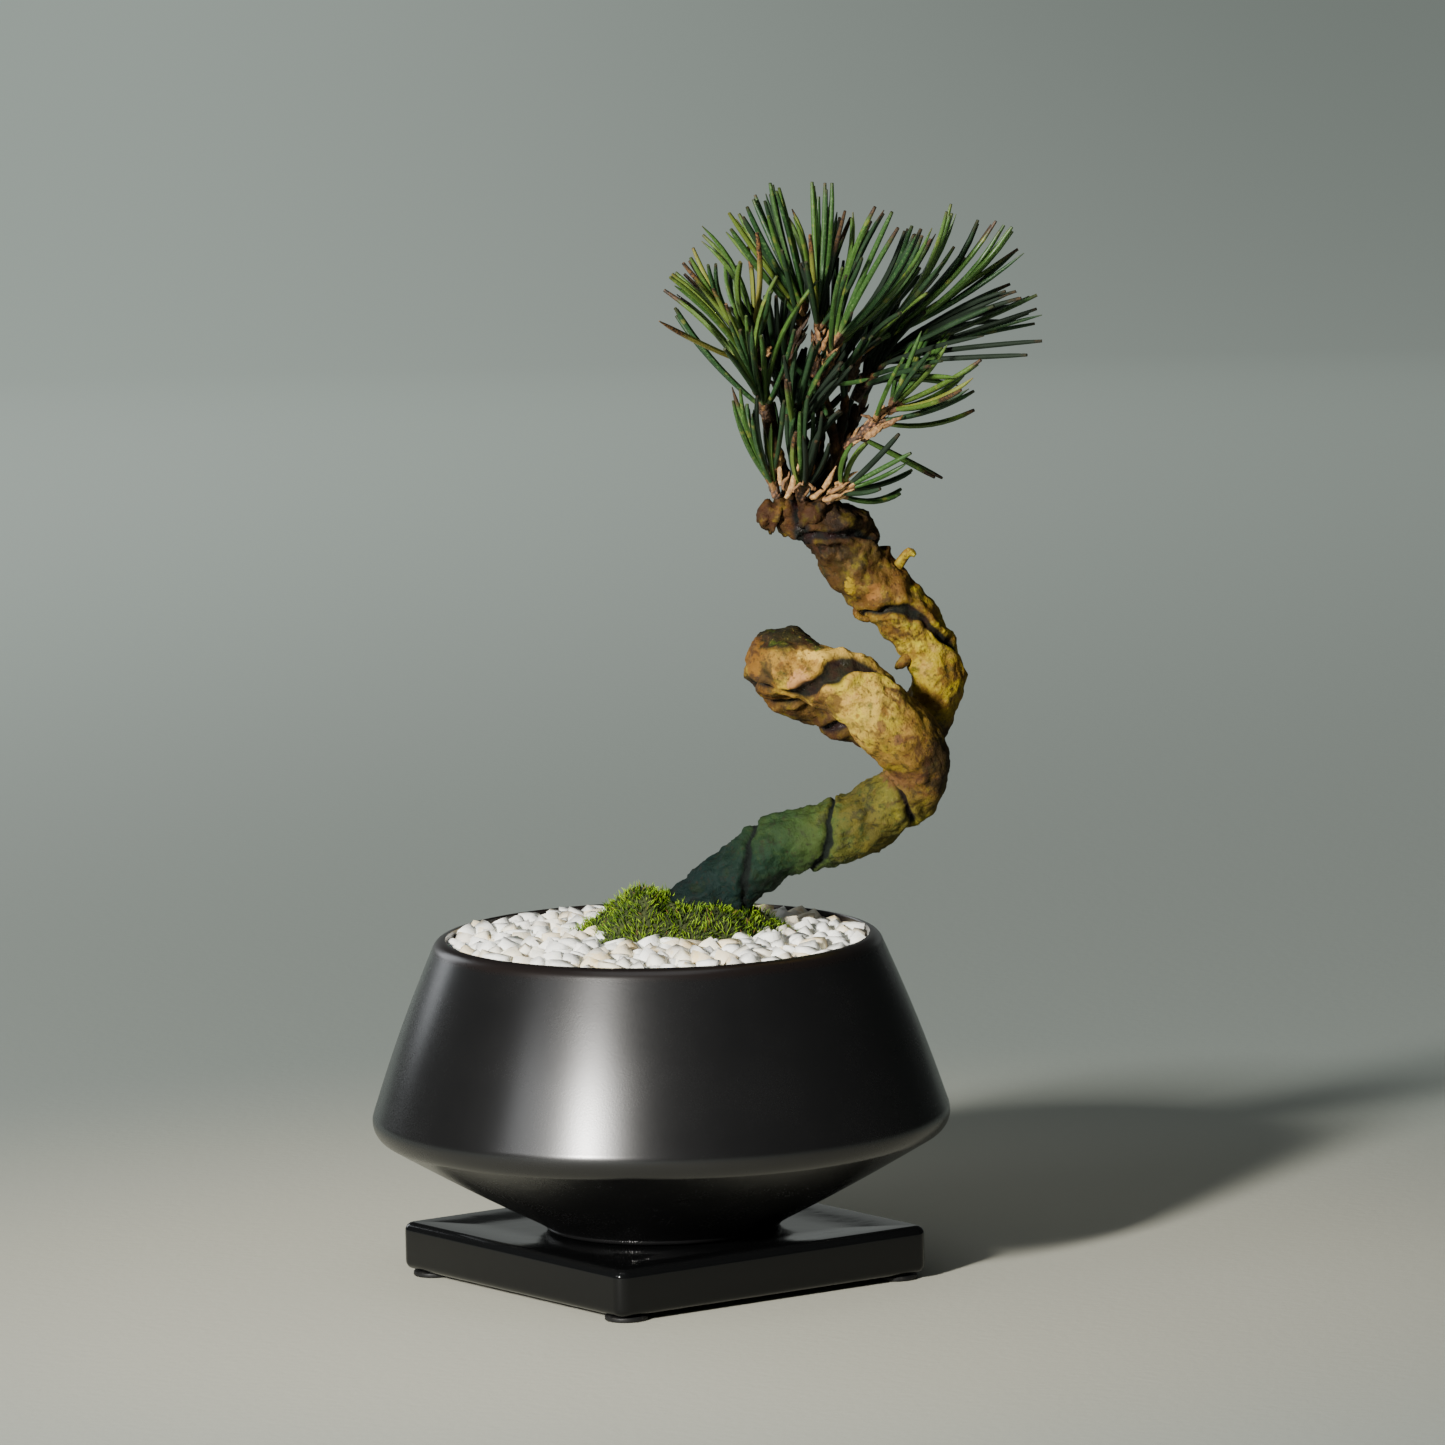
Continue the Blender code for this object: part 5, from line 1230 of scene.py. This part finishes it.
# Buds and torn scales cross the frame too: foot, tip, half width in millimetres and paleness.
BUDS = {
    "low_left": [(782, 486, 778, 450, 0.58, 0.81), (776, 470, 773, 448, 0.36, 0.68)],
    "low_middle": [
        (788, 498, 800, 461, 0.68, 0.81), (794, 492, 806, 478, 0.40, 0.54), (783, 490, 789, 470, 0.36, 0.50),
    ],
    "front": [(790, 395, 790, 382, 0.50, 0.77), (797, 410, 803, 398, 0.40, 0.54)],
    "left": [(768, 356, 770, 346, 0.56, 0.72), (765, 372, 762, 360, 0.40, 0.45)],
    "top_front": [
        (824, 363, 840, 346, 0.80, 0.65), (822, 350, 828, 334, 0.56, 0.56), (818, 374, 826, 362, 0.44, 0.50),
    ],
    "top": [(820, 340, 816, 322, 0.50, 0.63), (828, 338, 834, 318, 0.50, 0.67)],
    "pink": [
        (866, 437, 886, 424, 0.88, 0.65), (880, 428, 903, 416, 0.72, 0.56),
        (872, 420, 860, 414, 0.40, 0.45), (878, 414, 890, 405, 0.56, 0.59),
    ],
    "low_right": [
        (811, 499, 826, 488, 0.60, 0.72), (824, 488, 836, 467, 0.64, 0.77), (836, 484, 858, 471, 0.56, 0.70),
        (822, 500, 844, 494, 0.64, 0.74), (828, 492, 850, 482, 0.56, 0.63), (816, 490, 808, 484, 0.40, 0.56),
    ],
}

needle = Finish("black_pine_needle", IOR=1.46, Specular_IOR_Level=0.36, Coat_Roughness=0.40)
along = needle.attribute("along")
tint = needle.attribute("tint")
burn = needle.attribute("burn")
# Low tints give near-black green, painted shade for needles in shadow; higher tints run from the needles' own
# green to yellow.
green = needle.ramp(tint, [
    (0.0, (0.003, 0.010, 0.003)), (0.22, (0.010, 0.039, 0.009)), (0.45, (0.034, 0.084, 0.012)),
    (0.65, (0.072, 0.116, 0.014)), (0.85, (0.150, 0.150, 0.022)), (1.0, (0.270, 0.190, 0.046)),
])
pale = needle.mix((1 - needle.mask(along, 0.0, 0.16)) * 0.5, green, (0.24, 0.30, 0.09))
streak = needle.noise(0.5, 2.0)
blotch = needle.noise(3.0, 2.0)
# Needles out of the painted shade keep their pale streaks, blotches and coat; shaded ones lose them and turn
# rougher.
out_of_painted_shade = needle.mask(tint, 0.02, 0.30)
pale = needle.mix(needle.mask(streak, 0.52, 0.70) * 0.30 * out_of_painted_shade, pale, (0.14, 0.24, 0.08))
pale = needle.mix(needle.mask(blotch, 0.60, 0.72) * 0.45 * out_of_painted_shade, pale, (0.20, 0.19, 0.03))
edge = 1 - burn + (blotch - 0.5) * 0.16
burnt = needle.add("ShaderNodeMapRange", None, {"Value": along - edge, "From Min": -0.05, "From Max": 0.05})
rusty = needle.mix(needle.mask(tint, 0.45, 0.85), (0.050, 0.026, 0.009), (0.150, 0.070, 0.018))
dried = needle.mix(needle.mask(streak, 0.4, 0.6), rusty, (0.018, 0.011, 0.006))
needle.feed(Base_Color=needle.mix(burnt, pale, dried))
needle.feed(Roughness=0.43 + streak * 0.08 + burnt * 0.20 + (1 - out_of_painted_shade) * 0.30)
needle.feed(Coat_Weight=(0.10 + blotch * 0.14) * out_of_painted_shade)
paper = Finish("papery_sheath", Roughness=0.7)
flake = paper.noise(0.7, 3.0)
husk = paper.ramp(paper.attribute("tint") + (flake - 0.5) * 1.1, [
    (0.1, (0.030, 0.016, 0.007)), (0.45, (0.110, 0.050, 0.016)), (0.75, (0.270, 0.140, 0.046)),
    (1.0, (0.430, 0.275, 0.110)),
])
paper.feed(Base_Color=husk)
paper.bump(flake, 0.25)
young = Finish("young_shoot_bark", Roughness=0.75)
scales = young.add("ShaderNodeTexVoronoi", None, {"Vector": young.mm, "Scale": 1.1})
skin = young.mix(young.attribute("tint"), (0.075, 0.045, 0.020), (0.50, 0.21, 0.09))
young.feed(Base_Color=young.mix(young.mask(scales, 0.10, 0.55), skin, (0.045, 0.022, 0.010)))
young.bump(1 - scales, 0.5)

quill = Growth(
    "needle_skin", Sides=6, Needle=needle.material, Sheath=paper.material, Shoot=young.material
)
lines = quill.add("GeometryNodeMeshToCurve", None, {0: quill.input("Geometry")})
ring = {"Resolution": quill.input("Sides"), "Radius": 1.0}
ring = quill.add("GeometryNodeCurvePrimitiveCircle", {"mode": "RADIUS"}, ring)
skin = {0: lines, 1: ring, "Scale": quill.named("thickness"), "Fill Caps": True}
skin = quill.add("GeometryNodeCurveToMesh", None, skin)
coats = {}
for kind, label in ((NEEDLE, "Needle"), (SHEATH, "Sheath"), (SHOOT, "Shoot")):
    same = {"A": quill.named("kind"), "B": float(kind), "Epsilon": 0.3}
    equal = {"data_type": "FLOAT", "operation": "EQUAL"}
    coats[label] = quill.add("FunctionNodeCompare", equal, same)
quill.close(skin, coats)


class Lines:
    """Centre lines of needles, sheaths and shoots, with what each point of them carries."""

    def __init__(self):
        self.points = []
        self.edges = []
        self.values = []

    def draw(self, points, widths, kind, tint, burn=0.0):
        start = len(self.points)
        last = len(points) - 1
        for i, (point, width) in enumerate(zip(points, widths)):
            self.points.append(tuple(point))
            self.values.append((width, kind, tint, burn, i / last))
            if i:
                self.edges.append((start + i - 1, start + i))

    def mesh(self):
        mesh = bpy.data.meshes.new("lines")
        mesh.from_pydata(self.points, self.edges, [])
        return with_values(mesh, ("thickness", "kind", "tint", "burn", "along"), self.values)


EYE = np.array(sighted - level_view * CAMERA_DISTANCE)


def on_ray(column, row, deep):
    """The point seen at a pixel of the frame, at a depth y of the model."""
    across = camera_x * ((column - IMAGE_SIZE / 2) / FOCAL_PIXELS)
    ray = np.array(view + across - camera_y * ((row - IMAGE_SIZE / 2) / FOCAL_PIXELS))
    return EYE + ray * ((deep - EYE[1]) / ray[1])


def pixel_of(point):
    """Column and row of the frame at which a point is seen."""
    ray = Vector(point - EYE)
    scale = FOCAL_PIXELS / ray.dot(view)
    half = IMAGE_SIZE / 2
    return np.array([half + ray.dot(camera_x) * scale, half - ray.dot(camera_y) * scale])


def draw_needle(lines, chance, stem, traced, length, lean, width):
    """One needle from the nearest point of its shoot, through its bend, to its tip."""
    *spots, tint_and_shade, brown = traced
    tip, bend, foot = (np.array(spots[i:i + 2], float) for i in (0, 2, 4))
    root = min(stem, key=lambda point: np.hypot(*(pixel_of(point) - foot)))
    low = np.hypot(*(pixel_of(root) - bend))
    high = np.hypot(*(bend - tip))
    flat = (low + high) * PIXEL
    depth = lean * math.sqrt(max(length**2 - flat**2, (LEAST_LEAN * length) ** 2))
    share = low / (low + high)
    through = on_ray(*bend, root[1] + depth * share * (1.12 - 0.12 * share))
    end = on_ray(*tip, root[1] + depth)
    pull = (through - root * (1 - share) ** 2 - end * share**2) / (2 * share * (1 - share))
    t = np.linspace(0, 1, 10)[:, None]
    points = root * (1 - t) ** 2 + pull * 2 * t * (1 - t) + end * t**2
    shape = NEEDLE_TAPER.copy()
    if chance.random() < UNCUT_SHARE:
        shape[-2:] = UNCUT_END
    lines.draw(points, width * shape, NEEDLE, tint_and_shade / 9, max(0.0, brown - 1) / 8 * BURN_REACH)
    cuts = chance.uniform(2.0, 3.2) * MM / length * np.arange(4) / 3
    sleeve = np.column_stack([np.interp(cuts, t[:, 0], points[:, j]) for j in range(3)])
    tone = min(0.9, max(0.05, chance.gauss(0.40, 0.22)))
    lines.draw(sleeve, SHEATH_RADIUS * SHEATH_TAPER, SHEATH, tone)


for number, (name, (foot, tip, needle_length, hidden, pale_scales, traces)) in enumerate(SPRAYS.items()):
    chance = random.Random(200 + number)
    lines = Lines()
    foot, tip = from_pot([foot, tip])
    axis = (tip - foot) / np.linalg.norm(tip - foot)
    side = np.cross(axis, [0.3, 1.0, 0.2])
    side /= np.linalg.norm(side)
    other = np.cross(axis, side)
    shoot = [foot + (tip - foot) * share for share in np.linspace(-0.12, 0.97, 9)]
    lines.draw(shoot, SHOOT_RADIUS * SHOOT_TAPER, SHOOT, pale_scales / 9)
    stem = [foot + (tip - foot) * share for share in np.linspace(0.10, 0.95, 12)]
    for i in range(SCALES):
        turn = i * SCALE_TURN + chance.uniform(-0.3, 0.3)
        start = foot + (tip - foot) * (0.85 * i / SCALES)
        out = side * math.cos(turn) + other * math.sin(turn)
        reach = chance.uniform(1.8, 3.4) * MM
        t = np.linspace(0, 1, 4)[:, None]
        flare = axis * 0.85 + out * chance.uniform(0.3, 0.7)
        scale = start + out * 0.65 * MM + flare * reach * t - out * 0.25 * reach * t**2
        tone = min(1.0, max(0.0, pale_scales / 9 + chance.uniform(-0.25, 0.15)))
        lines.draw(scale, SCALE_TAPER * chance.uniform(0.7, 1.2), SHEATH, tone)
    for foot_x, foot_y, tip_x, tip_y, half, tone in BUDS.get(name, []):
        deep = min(point[1] for point in stem) - 1.0 * MM
        start, end = on_ray(foot_x, foot_y, deep), on_ray(tip_x, tip_y, deep - 0.8 * MM)
        bud = start + (end - start) * np.linspace(0, 1, 7)[:, None]
        bud += np.random.default_rng(int(foot_x)).normal(0, 0.17 * MM, bud.shape)
        lines.draw(bud, half * MM * BUD_TAPER, SHEATH, tone)
    for traced in traces:
        lean = -1 if chance.random() < 0.6 else 1
        length = needle_length * MM * chance.uniform(0.92, 1.04)
        lean *= chance.uniform(0.5, 1.0)
        width = NEEDLE_RADIUS * chance.uniform(0.92, 1.14)
        draw_needle(lines, chance, stem, traced, length, lean, width)
    strays = BACK_STRAY_PIXELS if name.startswith("back") else STRAY_PIXELS
    for i in range(hidden * 2):
        *spots, tint_and_shade, brown = traces[chance.randrange(len(traces))]
        tip_x, tip_y, bend_x, bend_y, foot_x, foot_y = spots
        cut = chance.uniform(0.0, 0.22)
        stray = chance.uniform(-strays, strays)
        run = math.hypot(tip_x - foot_x, tip_y - foot_y)
        away = ((foot_y - tip_y) / run, (tip_x - foot_x) / run)
        # A hidden needle takes a darker tint than the one it copies: painted shade inside the spray.
        moved = (
            tip_x + (bend_x - tip_x) * cut + away[0] * stray,
            tip_y + (bend_y - tip_y) * cut + away[1] * stray,
            bend_x + away[0] * stray * 0.45, bend_y + away[1] * stray * 0.45, foot_x, foot_y,
            min(4.5, max(0, tint_and_shade + chance.uniform(-2.5, 0.3))), brown if chance.random() < 0.4 else 0,
        )
        length = needle_length * MM * chance.uniform(0.90, 1.04)
        lean = chance.uniform(0.5, 1.0) if i % 5 < 3 else -chance.uniform(0.3, 0.9)
        draw_needle(lines, chance, stem, moved, length, lean, NEEDLE_RADIUS * chance.uniform(0.90, 1.10))
    mesh = quill.grow(lines.mesh(), f"needles_{name}")
    finished(f"needles_{name}", mesh, None, [f"spray_{name}"], 60)
